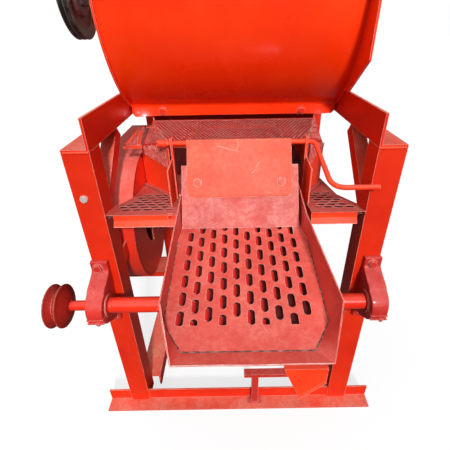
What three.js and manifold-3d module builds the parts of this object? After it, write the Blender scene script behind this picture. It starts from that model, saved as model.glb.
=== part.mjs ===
// Peanut thresher: an angle-iron frame that carries a threshing drum, its outlet hood and gate,
// a shaken slotted tray, an aspirator fan and the shaft that shakes the tray.
// Millimetres. X runs to the right, Y to the back and Z up. The origin is on the floor, midway
// between the front legs, at their front face.
import * as THREE from "three";
import { mergeVertices } from "three/addons/utils/BufferGeometryUtils.js";
import Module from "manifold-3d";

const wasm = await Module();
wasm.setup();

// Clearances and stock
const seat = 0.3; // between pieces that are bolted or welded face to face
const running = 0.4; // round a pin or shaft in its bore
const overrun = 2; // how far a cutter passes the face that it cuts
const sheet = 2.5; // sheet steel of the tray, hood, wings and gate
const plate = 5; // heavier plate

// Frame
const frameWidth = 742;
const frameDepth = 760;
const railFace = 905; // top of the horizontal flange of the top rails
const angleWidth = 62;
const angleWall = 6;
const railRise = 66; // standing flange of the top rails, above their horizontal flange
const footOverhang = 74; // of a foot bar, past the legs
const footHeight = 50;
const footToe = 37; // flange on the floor, in front of the legs
const baseRailHeight = 50;
const baseRailInset = 29; // of its inner face, from the inner edge of the legs
const baseRailWidth = 70;
const beamHeight = 60;
const beamDrop = 75; // below the face of the top rails
const braceTopY = 213;
const braceFootY = 30;
const braceFootZ = 737;
const braceWidth = 38;
const braceFlange = 42;

// Drum casing
const casingRadius = 307;
const casingSetback = 112; // of the drum's axis, behind the middle of the frame
const stripDrop = 9.797; // of the wrappers' strips, below the face of the top rails
const casingWall = 3;
const throatHalfDepth = 142;
const flangeDrop = 36; // strip below the front wrapper
const flangeWall = 4;
const flangeCorner = 9;
const splitFlange = 25;
const endPlateProud = 7; // past the casing, all round
const platesLift = 16; // of the end plates' foot, below the face of the top rails
const sidePlateHalf = 361; // half the depth of the right plate's lower part
const sidePlateFoot = 247; // half its depth where it meets the top rail
const sidePlateCorner = 144; // below the drum's axis

// Feed hopper
const chuteAngle = 45;
const chuteStart = 240;
const chuteEnd = 500;
const chuteHalfAtDrum = 90;
const chuteHalfAtMouth = 140;
const chuteInset = 93.4; // of each side, from the end of the casing

// Rotor and concave
const drumShaftRadius = 20;
const hubRadius = 32;
const rotorDiscRadius = 165;
const rotorDiscInset = 30; // of its middle, from the end of the bars
const rotorDiscWall = 8;
const rotorEndGap = 33.4;
const rotorBarWidth = 34;
const rotorBarHeight = 12;
const rotorBars = 4;
const pegsPerBar = 6;
const pegRadius = 7;
const pegTipRadius = 252;
const concaveRadius = 272;
const concaveDepth = 14;
const concaveBars = 11;
const concaveBarWidth = 10;
const concaveHalfAngle = 60;

// Shaft ends, pulleys and flange bearings
const pulleyOut = 84; // middle of the pulleys, past the legs
const pulleyWidth = 32;
const frontPulleyRadius = 56;
const drumPulleyRadius = 105;
const fanPulleyRadius = 50;
const shaftNib = 4; // how far a shaft passes its pulley
const bearingFlangeRadius = 62;
const bearingFlangeWall = 12;
const bearingBossRadius = 42;
const bearingLength = 36;

// Front shaft
const shaftY = -60;
const shaftZ = 516;
const shaftRadius = 20;
const journalRadius = 13;
const blockIn = 41; // middle of a plummer block, from the inner edge of its leg
const blockWidth = 44;
const blockHousing = 46;
const blockFootHalf = 102;
const blockFootWall = 14;
const blockNeck = 52;

// Hood
const outletX = 12; // middle of the gate
const trayX = 18; // middle line of the tray, the rear deck and their drive
const hoodDepth = 197.5; // in front of the throat
const hoodLeftGap = 12; // of the hood's front corners, outside the gate's straps
const hoodRightGap = 5;
const hoodCornerDepth = 52;
const hoodLeftFlare = 32; // of the side corners, past the throat's sides
const hoodRightFlare = 22;
const hoodFrontZ = 865;
const hoodCornerZ = 818;
const hoodBackZ = 881;
const throatInset = 63; // of its sides, from the inner edge of the legs
const throatFoot = 705;
const throatLap = 6.8; // behind the front wrapper's strip
const shelfZ = 850;
const shelfDepth = 147; // in front of the throat
const shelfRear = 50; // behind its front edge
const shelfGap = 6; // beside the throat, at the shelf's front
const shelfNotch = 33; // round the hood's corner
const shelfLip = 9;

// Wings
const wingZ = 745; // top of the front edge
const wingFallShare = 0.1655; // drop for each unit of depth
const wingRear = 70; // behind the throat's front
const wingLeftGap = 7; // beside the tray
const wingRightGap = 17;
const apronHeight = 31;
const apronSetback = 16;
const wingSlotWidth = 9;
const wingSlotLength = 24;
const wingSlotPitchX = 27;
const wingSlotEdge = 9;
const wingSlotPitchY = 20;
const wingSlotFront = 38;
const wingSlotRows = 7;
const wingTaperEnd = 145; // the wings narrow up to here, beside the fan housing

// Gate
const rodGap = 12.5; // in front of the hood
const rodZ = 873;
const rodRadius = 6;
const rodPast = 22; // past the left strap
const stubRadius = 9;
const stubLength = 26;
const gateTilt = 59; // from the level, in degrees
const leafWidth = 263;
const leafLength = 140;
const flapWidth = 293;
const flapShift = 1; // to the right of the leaf's middle
const flapStart = 58;
const flapEnd = 216;
const gateBoltX = 105;
const gateBoltReach = 102;
const gateBoltRadius = 8;
const gateBoltHeight = 5;
const gateBoltTopShare = 0.7;
const crankY = -20;
const crankZ = 817;
const crankSide = 203; // from the gate's middle
const gripLength = 105;
const crankBend = 34;
const strapGap = 23.5; // beside the flap
const strapWall = 5;
const strapDepth = 22;
const strapTop = 14; // above the rod's axis
const guideTopZ = 838;
const guideReach = 88; // in front of the rod
const guideTopReach = 12;

// Tray and rear deck
const trayInset = 10; // of the tray's rear end, behind the rod
const trayZ = 709; // top of the floor at trayY
const traySlope = 8.9; // degrees
const trayCornerRun = 59; // of the folded front corners
const trayFloorLength = 461;
const flareStart = 155; // the walls are parallel up to here, clear of the wings and the flap
const lipReach = 34;
const lipRise = 24;
const trayWallHeight = 62;
const rearFlare = 1;
const trayLeft = { rear: 153, front: 150, fold: 114, lip: 129, flare: 4 };
const trayRight = { rear: 147, front: 154, fold: 118, lip: 142, flare: 16 };
const deckGap = 23.6; // behind the deck, to the throat's rear strip
const deckWallHeight = 40;
const slotWidth = 15;
const slotLength = 36;
const slotPitchX = 27.4;
const slotPitchY = 46.7;
const slotColumns = 10;
const slotMiddle = -4.3; // of the slotted field, from the tray's middle line
const slotStartInset = 70; // middle of the left column's front slot, from the front fold
const slotSkew = 5; // each column lies this much further back
const slotFrontInset = 54; // the slots are cut off this far from the front fold
const slotRear = -110;
const runnerWidth = 30;
const runnerWall = 3;
const runnerLength = 138;

// Shaker drive
const throwLength = 6;
const eccentricRadius = 38;
const eccentricWidth = 24;
const pitmanWidth = 20;
const pitmanRing = 12;
const pitmanRodHeight = 24;
const shakerPinRadius = 8;
const shakerPinPlay = 15;
const shakerEyeRing = 9;
const bracketPinBack = 70;
const bracketPinDrop = 75;
const bracketWall = 5;
const bracketLength = 60;
const bracketPlay = 3;

// Fan
const fanLegGap = 35; // behind the front leg
const fanZ = 584;
const fanRadius = 211;
const fanInset = 25; // of its inner face, from the inner edge of the legs
const fanWidth = 116;
const fanWall = 3;
const fanEyeRadius = 95;
const fanSpiderWidth = 48;
const fanDuctHeight = 155;
const fanDuctGap = 58; // from its mouth to the rear leg
const fanShaftRadius = 12;
const fanBladeRadius = 180;
const fanBlades = 6;
const fanBladeWall = 4;
const fanBladeWidth = 70;
const fanHubRadius = 34;
const fanBearingRadius = 50;
const fanBearingLength = 26;
const lugHeight = 50;
const fanBaseReach = 49; // past its inner face
const fanBaseY = 245;
const fanBaseDepth = 90;
const fanBaseDrop = 22;

// Low front pieces
const standX = 56;
const standPostWidth = 22;
const standBarFrom = 20;
const standBarLap = 24; // behind the spout
const standBarZ = 144;
const standBarHeight = 14;
const standDepth = 24;
const standBaseWidth = 46;
const spoutWidth = 142;
const spoutLegGap = 19; // beside the right leg
const spoutTopZ = 186;
const spoutTipInset = 85; // from the right edge
const spoutTipZ = 36;
const spoutRightZ = 123;
const spoutDepth = 70;
const spoutBend = 5;
const legBoltInset = 24.4; // from the leg's outer edge
const legBoltZ = 790;
const legBoltRadius = 9;
const legBoltHeight = 6;

// Values worked out from the driving dimensions
const frameHalf = frameWidth / 2;
const legInner = frameHalf - angleWidth;
const endPlateX = legInner - seat - plate; // inner face of the end plates
const wrapperHalf = endPlateX - seat;
const footReach = frameHalf + footOverhang;
const baseRailInner = legInner - baseRailInset;
const casingY = frameDepth / 2 + casingSetback;
const throatFrontY = casingY - throatHalfDepth;
const throatBackY = casingY + throatHalfDepth;
const throatHalf = legInner - throatInset;
const chuteHalfWidth = wrapperHalf - chuteInset;
const rotorBarLength = 2 * (wrapperHalf - rotorEndGap);
const rotorDiscX = rotorBarLength / 2 - rotorDiscInset;
const wrapperInner = casingRadius - casingWall;
const wrapperLip = Math.sqrt(wrapperInner ** 2 - throatHalfDepth ** 2);
const stripFoot = railFace - stripDrop;
const casingZ = stripFoot + flangeDrop + wrapperLip;
const throatTop = stripFoot + throatLap;
const pulleyX = -frameHalf - pulleyOut;
const blockX = legInner + blockIn;
const wingLeftInner = trayX - trayLeft.rear - wingLeftGap;
const wingRightInner = trayX + trayRight.rear + wingRightGap;
const strapOffset = flapWidth / 2 + strapGap;
const hoodFrontY = throatFrontY - hoodDepth;
const hoodFrontLeft = outletX - strapOffset - hoodLeftGap;
const hoodFrontRight = outletX + strapOffset + hoodRightGap;
const hoodCornerY = throatFrontY - hoodCornerDepth;
const hoodCornerLeft = -throatHalf - hoodLeftFlare;
const hoodCornerRight = throatHalf + hoodRightFlare;
const shelfFront = throatFrontY - shelfDepth;
const shelfBack = throatFrontY + shelfRear;
const shelfFrontRight = -throatHalf - shelfGap;
const shelfWaist = -throatHalf - shelfNotch;
const wingDepth = throatFrontY + wingRear;
const rodY = hoodFrontY - rodGap;
const guideFrontY = rodY - guideReach;
const guideBackY = rodY - guideTopReach;
const trayY = rodY + trayInset;
const runnerBackY = trayY;
const runnerFrontY = runnerBackY - runnerLength;
const trayStraight = trayFloorLength - trayCornerRun;
const slotStart = slotStartInset - trayFloorLength;
const slotFront = slotFrontInset - trayFloorLength;
const fanY = angleWidth + fanRadius + fanLegGap;
const fanDuctEnd = frameDepth - angleWidth - fanDuctGap;
const spoutRight = legInner - spoutLegGap;
const spoutLeft = spoutRight - spoutWidth;
const spoutTipX = spoutRight - spoutTipInset;
const rodLeft = outletX - strapOffset - rodPast;
const crankX = outletX + crankSide;
const gripX = crankX + gripLength;
const fanInnerX = fanInset - legInner;
const fanBaseRight = fanInnerX + fanBaseReach;
const standBarTo = spoutLeft + standBarLap;
const legBoltX = legBoltInset - frameHalf;
const slopeTurn = THREE.MathUtils.degToRad(traySlope);
const tiltTurn = THREE.MathUtils.degToRad(gateTilt);
const deckLength = (throatBackY - trayY - deckGap) / Math.cos(slopeTurn);

// Finishes
const paint = (color, roughness) =>
  new THREE.MeshStandardMaterial({ color, roughness, metalness: 0 });
const gloss = paint(0xf2381c, 0.35);
const dusty = paint(0xd8705f, 0.6);
const shade = paint(0xb81a10, 0.45);
const steel = new THREE.MeshStandardMaterial({ color: 0x9a9a98, roughness: 0.4, metalness: 1 });

const machine = new THREE.Group();
const shaker = new THREE.Group(); // the tray's own frame: y along its slope to the back, z square to it
shaker.position.set(trayX, trayY, trayZ);
shaker.rotation.x = slopeTurn;
machine.add(shaker);

// A closed geometry as a manifold solid, with its faces turned outwards.
function toSolid(geometry) {
  const bare = geometry.index ? geometry.toNonIndexed() : geometry.clone();
  bare.deleteAttribute("normal");
  bare.deleteAttribute("uv");
  const merged = mergeVertices(bare);
  const triVerts = new Uint32Array(merged.index.array);
  const vertProperties = merged.attributes.position.array;
  const make = () => new wasm.Manifold(new wasm.Mesh({ numProp: 3, vertProperties, triVerts }));
  const solid = make();
  if (solid.volume() >= 0) return solid;
  for (let i = 0; i < triVerts.length; i += 3) {
    [triVerts[i + 1], triVerts[i + 2]] = [triVerts[i + 2], triVerts[i + 1]];
  }
  return make();
}

function toGeometry(solid) {
  const made = solid.getMesh();
  const places = new Float32Array(made.numVert * 3);
  for (let i = 0; i < made.numVert; i += 1) {
    places.set(made.vertProperties.subarray(i * made.numProp, i * made.numProp + 3), i * 3);
  }
  const geometry = new THREE.BufferGeometry();
  geometry.setAttribute("position", new THREE.BufferAttribute(places, 3));
  geometry.setIndex(new THREE.BufferAttribute(made.triVerts, 1));
  geometry.computeVertexNormals();
  return geometry;
}

const join = (...pieces) => pieces.map(toSolid).reduce((sum, next) => sum.add(next));
const joined = (...pieces) => toGeometry(join(...pieces));
const cut = (body, ...tools) =>
  toGeometry(tools.map(toSolid).reduce((rest, tool) => rest.subtract(tool), toSolid(body)));

function addPiece(name, geometry, material, group = machine) {
  const mesh = new THREE.Mesh(toGeometry(toSolid(geometry)), material);
  mesh.name = name;
  group.add(mesh);
}

function shapeOf(points, holes = []) {
  const shape = new THREE.Shape(points.map(([u, v]) => new THREE.Vector2(u, v)));
  for (const hole of holes) {
    shape.holes.push(new THREE.Path(hole.map(([u, v]) => new THREE.Vector2(u, v))));
  }
  return shape;
}

// Extrusions: along X the outline is (y, z), along Y it is (x, z) and along Z it is (x, y).
function alongX(shape, from, to) {
  const made = new THREE.ExtrudeGeometry(shape, { depth: to - from, bevelEnabled: false });
  const turn = new THREE.Matrix4().set(0, 0, 1, from, 1, 0, 0, 0, 0, 1, 0, 0, 0, 0, 0, 1);
  return made.applyMatrix4(turn);
}

function alongY(shape, from, to) {
  const made = new THREE.ExtrudeGeometry(shape, { depth: to - from, bevelEnabled: false });
  return made.rotateX(Math.PI / 2).translate(0, to, 0);
}

function alongZ(shape, from, to) {
  const made = new THREE.ExtrudeGeometry(shape, { depth: to - from, bevelEnabled: false });
  return made.translate(0, 0, from);
}

function box(x0, x1, y0, y1, z0, z1) {
  const made = new THREE.BoxGeometry(x1 - x0, y1 - y0, z1 - z0);
  return made.translate((x0 + x1) / 2, (y0 + y1) / 2, (z0 + z1) / 2);
}

// Points on a circle's arc, angles in degrees from +u towards +v.
function arc(u, v, radius, from, to, steps) {
  return Array.from({ length: steps + 1 }, (_, i) => {
    const angle = THREE.MathUtils.degToRad(from + ((to - from) * i) / steps);
    return [u + radius * Math.cos(angle), v + radius * Math.sin(angle)];
  });
}

const circle = (u, v, radius, steps) => arc(u, v, radius, 0, 360, steps).slice(0, steps);

const ringSector = (u, v, inner, outer, from, to, steps) => [
  ...arc(u, v, outer, from, to, steps),
  ...arc(u, v, inner, to, from, steps),
];

const barX = (y, z, radius, from, to, steps = 24) =>
  alongX(shapeOf(circle(y, z, radius, steps)), from, to);

// A closed outline of [radius, x] turned round an axis along X at (y, z).
function turnedX(profile, y, z, steps = 20) {
  const points = profile.map(([radius, x]) => new THREE.Vector2(radius, x));
  return new THREE.LatheGeometry(points, steps).rotateZ(-Math.PI / 2).translate(0, y, z);
}

// A solid between two rings of as many corners, each ring convex.
function between(lower, upper) {
  const count = lower.length;
  const corners = [...lower, ...upper].map((corner) => new THREE.Vector3(...corner));
  const faces = [];
  for (let i = 1; i < count - 1; i += 1) {
    faces.push([0, i + 1, i], [count, count + i, count + i + 1]);
  }
  for (let i = 0; i < count; i += 1) {
    const next = (i + 1) % count;
    faces.push([i, next, count + next], [i, count + next, count + i]);
  }
  const places = faces.flat().flatMap((corner) => corners[corner].toArray());
  const geometry = new THREE.BufferGeometry();
  geometry.setAttribute("position", new THREE.Float32BufferAttribute(places, 3));
  return geometry;
}

// A flat four-cornered sheet, thickened to the side that its corners' turn points to.
function sheetQuad(corners, wall) {
  const [a, b, , d] = corners.map((corner) => new THREE.Vector3(...corner));
  const side = b.clone().sub(a).cross(d.clone().sub(a)).setLength(wall);
  const moved = corners.map((corner) => new THREE.Vector3(...corner).add(side).toArray());
  return between(corners, moved);
}

// An upright wall between two points of the plan, with its own foot and head at each.
function uprightWall([ax, ay, footA, headA], [bx, by, footB, headB], wall) {
  return sheetQuad([[ax, ay, footA], [bx, by, footB], [bx, by, headB], [ax, ay, headA]], wall);
}

// Frame
function legs() {
  const notchBack = angleWall + 2 * seat + plate;
  for (const side of [-1, 1]) {
    for (const [row, place] of [["front", (y) => y], ["rear", (y) => frameDepth - y]]) {
      const outline = [
        [legInner, 0],
        [frameHalf, 0],
        [frameHalf, angleWall],
        [legInner + angleWall, angleWall],
        [legInner + angleWall, angleWidth],
        [legInner, angleWidth],
      ].map(([x, y]) => [side * x, place(y)]);
      const post = alongZ(shapeOf(outline), plate + seat, railFace - angleWall - seat);
      const notchX = [side * (legInner - overrun), side * (legInner + angleWall + overrun)];
      const notchY = [place(angleWall), place(notchBack)];
      const notch = box(
        Math.min(...notchX), Math.max(...notchX), Math.min(...notchY), Math.max(...notchY),
        0, footHeight + seat,
      );
      addPiece(`${row}_leg_${side < 0 ? "left" : "right"}`, cut(post, notch), gloss);
    }
  }
}

function rails() {
  for (const side of [-1, 1]) {
    const name = side < 0 ? "left" : "right";
    const top = [
      [legInner, railFace - angleWall],
      [frameHalf, railFace - angleWall],
      [frameHalf, railFace],
      [legInner + angleWall, railFace],
      [legInner + angleWall, railFace + railRise],
      [legInner, railFace + railRise],
    ].map(([x, z]) => [side * x, z]);
    addPiece(`top_rail_${name}`, alongY(shapeOf(top), 0, frameDepth), dusty);
    const base = [
      [baseRailInner, 0],
      [baseRailInner + angleWall, 0],
      [baseRailInner + angleWall, baseRailHeight - angleWall],
      [baseRailInner + baseRailWidth, baseRailHeight - angleWall],
      [baseRailInner + baseRailWidth, baseRailHeight],
      [baseRailInner, baseRailHeight],
    ].map(([x, z]) => [side * x, z]);
    const inset = angleWidth + seat;
    addPiece(`base_rail_${name}`, alongY(shapeOf(base), inset, frameDepth - inset), gloss);
  }
}

function footBars() {
  for (const [row, place] of [["front", (y) => y], ["rear", (y) => frameDepth - y]]) {
    const back = angleWall + seat + plate;
    const outline = [
      [-footToe, 0],
      [back, 0],
      [back, footHeight],
      [back - plate, footHeight],
      [back - plate, plate],
      [-footToe, plate],
    ].map(([y, z]) => [place(y), z]);
    addPiece(`${row}_foot_bar`, alongX(shapeOf(outline), -footReach, footReach), gloss);
  }
}

function rearBeam() {
  const foot = railFace - beamDrop;
  const outline = [
    [frameDepth - angleWall, foot],
    [frameDepth, foot],
    [frameDepth, foot + beamHeight],
    [frameDepth - beamHeight, foot + beamHeight],
    [frameDepth - beamHeight, foot + beamHeight - angleWall],
    [frameDepth - angleWall, foot + beamHeight - angleWall],
  ];
  const half = legInner - seat;
  addPiece("rear_cross_beam", alongX(shapeOf(outline), -half, half), gloss);
}

function kneeBraces() {
  const top = [braceTopY, railFace - angleWall - seat];
  const foot = [braceFootY, braceFootZ];
  const run = new THREE.Vector2(top[0] - foot[0], top[1] - foot[1]).normalize();
  const back = [run.y, -run.x]; // square to the brace, towards the back and down
  const at = ([y, z], reach) => [y + back[0] * reach, z + back[1] * reach];
  for (const side of [-1, 1]) {
    const inner = side * (legInner + angleWall + seat);
    const face = inner + side * plate;
    const outer = side * (legInner + braceFlange);
    const strip = (x0, x1, reach) => {
      const ends = [at(foot, 0), at(foot, reach), at(top, reach), at(top, 0)];
      return between(ends.map(([y, z]) => [x0, y, z]), ends.map(([y, z]) => [x1, y, z]));
    };
    const brace = joined(strip(inner, face, braceWidth), strip(inner, outer, plate));
    addPiece(`knee_brace_${side < 0 ? "left" : "right"}`, brace, gloss);
  }
}

// Drum casing
function wrappers() {
  const reach = (throatFrontY - casingY) / wrapperInner;
  const frontEnd = 360 - THREE.MathUtils.radToDeg(Math.acos(reach));
  const stripTop = casingZ - wrapperLip + casingWall;
  const strip = [
    [-wrapperHalf, stripTop],
    [-wrapperHalf, stripFoot + flangeCorner],
    [-wrapperHalf + flangeCorner, stripFoot],
    [wrapperHalf - flangeCorner, stripFoot],
    [wrapperHalf, stripFoot + flangeCorner],
    [wrapperHalf, stripTop],
  ];
  const split = casingZ - seat / 2;
  for (const [name, place, mirror] of [
    ["front_wrapper", (y) => y, (angle) => angle],
    ["rear_wrapper", (y) => 2 * casingY - y, (angle) => 540 - angle],
  ]) {
    const shell = ringSector(
      casingY, split, wrapperInner, casingRadius, mirror(180), mirror(frontEnd), 14,
    );
    const edge = casingY - casingRadius;
    const stripY = [place(throatFrontY - flangeWall / 2), place(throatFrontY + flangeWall / 2)];
    const flangeY = [place(edge - splitFlange), place(edge + casingWall)];
    addPiece(name, joined(
      alongX(shapeOf(shell), -wrapperHalf, wrapperHalf),
      alongY(shapeOf(strip), Math.min(...stripY), Math.max(...stripY)),
      box(
        -wrapperHalf, wrapperHalf, Math.min(...flangeY), Math.max(...flangeY),
        split - flangeWall, split,
      ),
    ), gloss);
  }
}

// The feed chute's outline, grown sideways by a wall and lengthened past its mouth.
function chuteOutline(grown, extra) {
  const turn = THREE.MathUtils.degToRad(chuteAngle);
  const place = (reach, side) => [
    casingY + Math.cos(turn) * reach - Math.sin(turn) * side,
    casingZ + Math.sin(turn) * reach + Math.cos(turn) * side,
  ];
  const spread = (chuteHalfAtMouth - chuteHalfAtDrum) / (chuteEnd - chuteStart);
  const half = (reach) => chuteHalfAtDrum + spread * (reach - chuteStart) + grown;
  const [near, far] = [chuteStart - extra, chuteEnd + extra];
  return [
    place(near, -half(near)), place(far, -half(far)), place(far, half(far)), place(near, half(near)),
  ];
}

function coverAndHopper() {
  const split = casingZ + seat / 2;
  const bore = alongX(
    shapeOf(chuteOutline(0, overrun)), casingWall - chuteHalfWidth, chuteHalfWidth - casingWall,
  );
  const shell = ringSector(casingY, split, wrapperInner, casingRadius, 0, 180, 32);
  const flange = (from, to) => box(-wrapperHalf, wrapperHalf, from, to, split, split + flangeWall);
  const edge = casingY - casingRadius;
  const rearEdge = casingY + casingRadius;
  const cover = joined(
    alongX(shapeOf(shell), -wrapperHalf, wrapperHalf),
    flange(edge - splitFlange, edge + casingWall),
    flange(rearEdge - casingWall, rearEdge + splitFlange),
  );
  addPiece("upper_cover", cut(cover, bore), gloss);
  const outer = alongX(shapeOf(chuteOutline(casingWall, 0)), -chuteHalfWidth, chuteHalfWidth);
  const drum = barX(casingY, split, casingRadius + seat, -frameHalf, frameHalf, 64);
  addPiece("feed_hopper", cut(outer, bore, drum), gloss);
}

function endPlates() {
  const foot = railFace - platesLift;
  const railTop = railFace + railRise;
  const corner = casingZ - sidePlateCorner;
  const sidePlate = [
    [casingY - sidePlateFoot, railTop],
    [casingY - sidePlateHalf, corner],
    [casingY - sidePlateHalf, casingZ],
    [casingY + sidePlateHalf, casingZ],
    [casingY + sidePlateHalf, corner],
    [casingY + sidePlateFoot, railTop],
  ];
  const radius = casingRadius + endPlateProud;
  for (const [name, side] of [["end_plate_left", -1], ["end_plate_right", 1]]) {
    const faces = [side * endPlateX, side * (endPlateX + plate)].sort((a, b) => a - b);
    const disc = alongX(shapeOf(circle(casingY, casingZ, radius, 56)), ...faces);
    const body = side < 0 ? disc : joined(disc, alongX(shapeOf(sidePlate), ...faces));
    const below = box(
      -frameWidth, frameWidth, casingY - radius, casingY + radius, casingZ - radius - overrun, foot,
    );
    const bore = barX(casingY, casingZ, drumShaftRadius + overrun, -frameWidth, frameWidth, 20);
    addPiece(name, cut(body, below, bore), gloss);
  }
}

// A flange bearing on a face at x, standing out to the side given.
function flangeBearing(name, x, side, y, z, shaft, radius, length) {
  const bore = shaft + running;
  const boss = radius * bearingBossRadius / bearingFlangeRadius;
  const profile = [
    [bore, x + side * seat],
    [radius, x + side * seat],
    [radius, x + side * (seat + bearingFlangeWall)],
    [boss, x + side * (seat + bearingFlangeWall)],
    [boss, x + side * length],
    [bore, x + side * length],
    [bore, x + side * seat],
  ];
  addPiece(name, turnedX(profile, y, z), shade);
}

// Shares of the pulley's radius and of its width, round its section.
const pulleyRimShares = [
  [0.95, 0], [1, 0.1], [1, 0.24], [0.75, 0.44], [0.75, 0.56], [1, 0.76], [1, 0.9], [0.95, 1],
  [0.83, 1], [0.5, 0.6], [0.4, 1],
];

function vPulley(name, y, z, radius, shaft, material) {
  const from = pulleyX - pulleyWidth / 2;
  const bore = shaft + running;
  const profile = [
    [bore, from],
    ...pulleyRimShares.map(([out, along]) => [
      Math.max(radius * out, bore + plate), from + pulleyWidth * along,
    ]),
    [bore, from + pulleyWidth],
    [bore, from],
  ];
  addPiece(name, turnedX(profile, y, z), material);
}

function drum() {
  const shaftEnd = pulleyX - pulleyWidth / 2 - shaftNib;
  const plateFace = endPlateX + plate;
  const rightEnd = plateFace + bearingLength + shaftNib;
  addPiece("drum_shaft", barX(casingY, casingZ, drumShaftRadius, shaftEnd, rightEnd), steel);
  for (const [name, side] of [["left", -1], ["right", 1]]) {
    flangeBearing(
      `drum_bearing_${name}`, side * plateFace, side, casingY, casingZ,
      drumShaftRadius, bearingFlangeRadius, bearingLength,
    );
  }
  vPulley("drum_pulley", casingY, casingZ, drumPulleyRadius, drumShaftRadius, steel);
}

function rotor() {
  const half = rotorBarLength / 2;
  const pieces = [barX(0, 0, hubRadius, -half, half)];
  for (const side of [-1, 1]) {
    const middle = side * rotorDiscX;
    pieces.push(barX(0, 0, rotorDiscRadius, middle - rotorDiscWall / 2, middle + rotorDiscWall / 2, 24));
  }
  for (let bar = 0; bar < rotorBars; bar += 1) {
    const turn = (2 * Math.PI * bar) / rotorBars;
    const foot = rotorDiscRadius - rotorBarHeight;
    const strip = box(
      -half, half, -rotorBarWidth / 2, rotorBarWidth / 2, foot, rotorDiscRadius + rotorBarHeight,
    );
    pieces.push(strip.rotateX(turn));
    for (let peg = 0; peg < pegsPerBar; peg += 1) {
      const x = -half + (rotorBarLength * (peg + 0.5)) / pegsPerBar;
      const rod = alongZ(shapeOf(circle(x, 0, pegRadius, 6)), foot + rotorBarHeight, pegTipRadius);
      pieces.push(rod.rotateX(turn));
    }
  }
  const bore = barX(0, 0, drumShaftRadius + running, -rotorBarLength, rotorBarLength);
  addPiece("threshing_rotor", cut(joined(...pieces), bore).translate(0, casingY, casingZ), shade);
}

function concave() {
  const outer = concaveRadius + concaveDepth;
  const [from, to] = [270 - concaveHalfAngle, 270 + concaveHalfAngle];
  const pieces = [-1, 1].map((side) => {
    const faces = [side * wrapperHalf, side * (wrapperHalf - concaveDepth)].sort((a, b) => a - b);
    return alongX(
      shapeOf(ringSector(casingY, casingZ, concaveRadius, outer, from, to, 16)), ...faces,
    );
  });
  for (let i = 0; i < concaveBars; i += 1) {
    const angle = THREE.MathUtils.degToRad(from + ((to - from) * i) / (concaveBars - 1));
    const inset = concaveBarWidth / 2;
    const middle = concaveRadius + concaveDepth / 2;
    const bar = box(
      -wrapperHalf + inset, wrapperHalf - inset, -inset, inset, -inset, inset,
    ).rotateX(angle);
    pieces.push(bar.translate(0, casingY + middle * Math.cos(angle), casingZ + middle * Math.sin(angle)));
  }
  addPiece("concave_grate", joined(...pieces), shade);
}

// The end of a wall, moved further along its plan by the reach.
function past([ax, ay], [bx, by, foot, head], reach) {
  const run = new THREE.Vector2(bx - ax, by - ay).setLength(reach);
  return [bx + run.x, by + run.y, foot, head];
}

// Outlet hood
const wingTop = (y) => wingZ - wingFallShare * y;

function hoodCheeks() {
  const headDrop = sheet + seat;
  for (const [name, side, front, corner] of [
    ["left", -1, hoodFrontLeft, hoodCornerLeft],
    ["right", 1, hoodFrontRight, hoodCornerRight],
  ]) {
    const a = [front, hoodFrontY, wingTop(hoodFrontY) + seat, hoodFrontZ - headDrop];
    const b = [corner, hoodCornerY, wingTop(hoodCornerY) + seat, hoodCornerZ - headDrop];
    const c = [
      side * (throatHalf + sheet), throatFrontY + flangeWall, wingTop(throatFrontY) + seat,
      hoodCornerZ - headDrop,
    ];
    const lapped = past(a, b, sheet);
    const walls = side < 0
      ? [uprightWall(lapped, a, sheet), uprightWall(c, b, sheet)]
      : [uprightWall(a, lapped, sheet), uprightWall(b, c, sheet)];
    addPiece(`hood_cheek_${name}`, joined(...walls), gloss);
  }
}

function hoodCover() {
  const back = throatFrontY - flangeWall / 2 - seat;
  const frontLeft = [hoodFrontLeft, hoodFrontY, hoodFrontZ];
  const frontRight = [hoodFrontRight, hoodFrontY, hoodFrontZ];
  const backLeft = [-throatHalf, back, hoodBackZ];
  const backRight = [throatHalf, back, hoodBackZ];
  const cornerLeft = [hoodCornerLeft, hoodCornerY, hoodCornerZ];
  const cornerRight = [hoodCornerRight, hoodCornerY, hoodCornerZ];
  const facets = [
    [frontLeft, frontRight, backRight, backLeft],
    [frontLeft, backLeft, cornerLeft],
    [frontRight, cornerRight, backRight],
  ];
  const lowered = (facet) => facet.map(([x, y, z]) => [x, y, z - sheet]);
  addPiece("hood_mesh_cover", joined(...facets.map((facet) => between(lowered(facet), facet))), dusty);
}

function throat() {
  const front = throatFrontY + flangeWall / 2 + seat;
  const back = throatBackY - flangeWall / 2 - seat;
  const pieces = [box(-throatHalf, throatHalf, back - sheet, back, throatFoot, throatTop)];
  for (const side of [-1, 1]) {
    const wall = [side * throatHalf, side * (throatHalf - sheet)].sort((a, b) => a - b);
    const flange = [side * (throatHalf - sheet), side * wrapperHalf].sort((a, b) => a - b);
    pieces.push(box(...wall, front, back, throatFoot, throatTop));
    pieces.push(box(...flange, front, back, throatTop - sheet, throatTop));
  }
  addPiece("throat_duct", joined(...pieces), gloss);
  const restTop = restHeight(back - sheet - seat);
  const restFront = back - sheet - seat - runnerWidth;
  const rest = [
    [back - sheet - seat, throatFoot],
    [back - sheet - seat, restTop],
    [restFront, restHeight(restFront)],
    [restFront, restHeight(restFront) - runnerWall],
    [back - sheet - seat - runnerWall, restTop - 2 * runnerWall],
    [back - sheet - seat - runnerWall, throatFoot],
  ];
  addPiece("deck_rest", alongX(shapeOf(rest), trayX - trayLeft.rear, trayX + trayRight.rear), shade);
}

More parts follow.
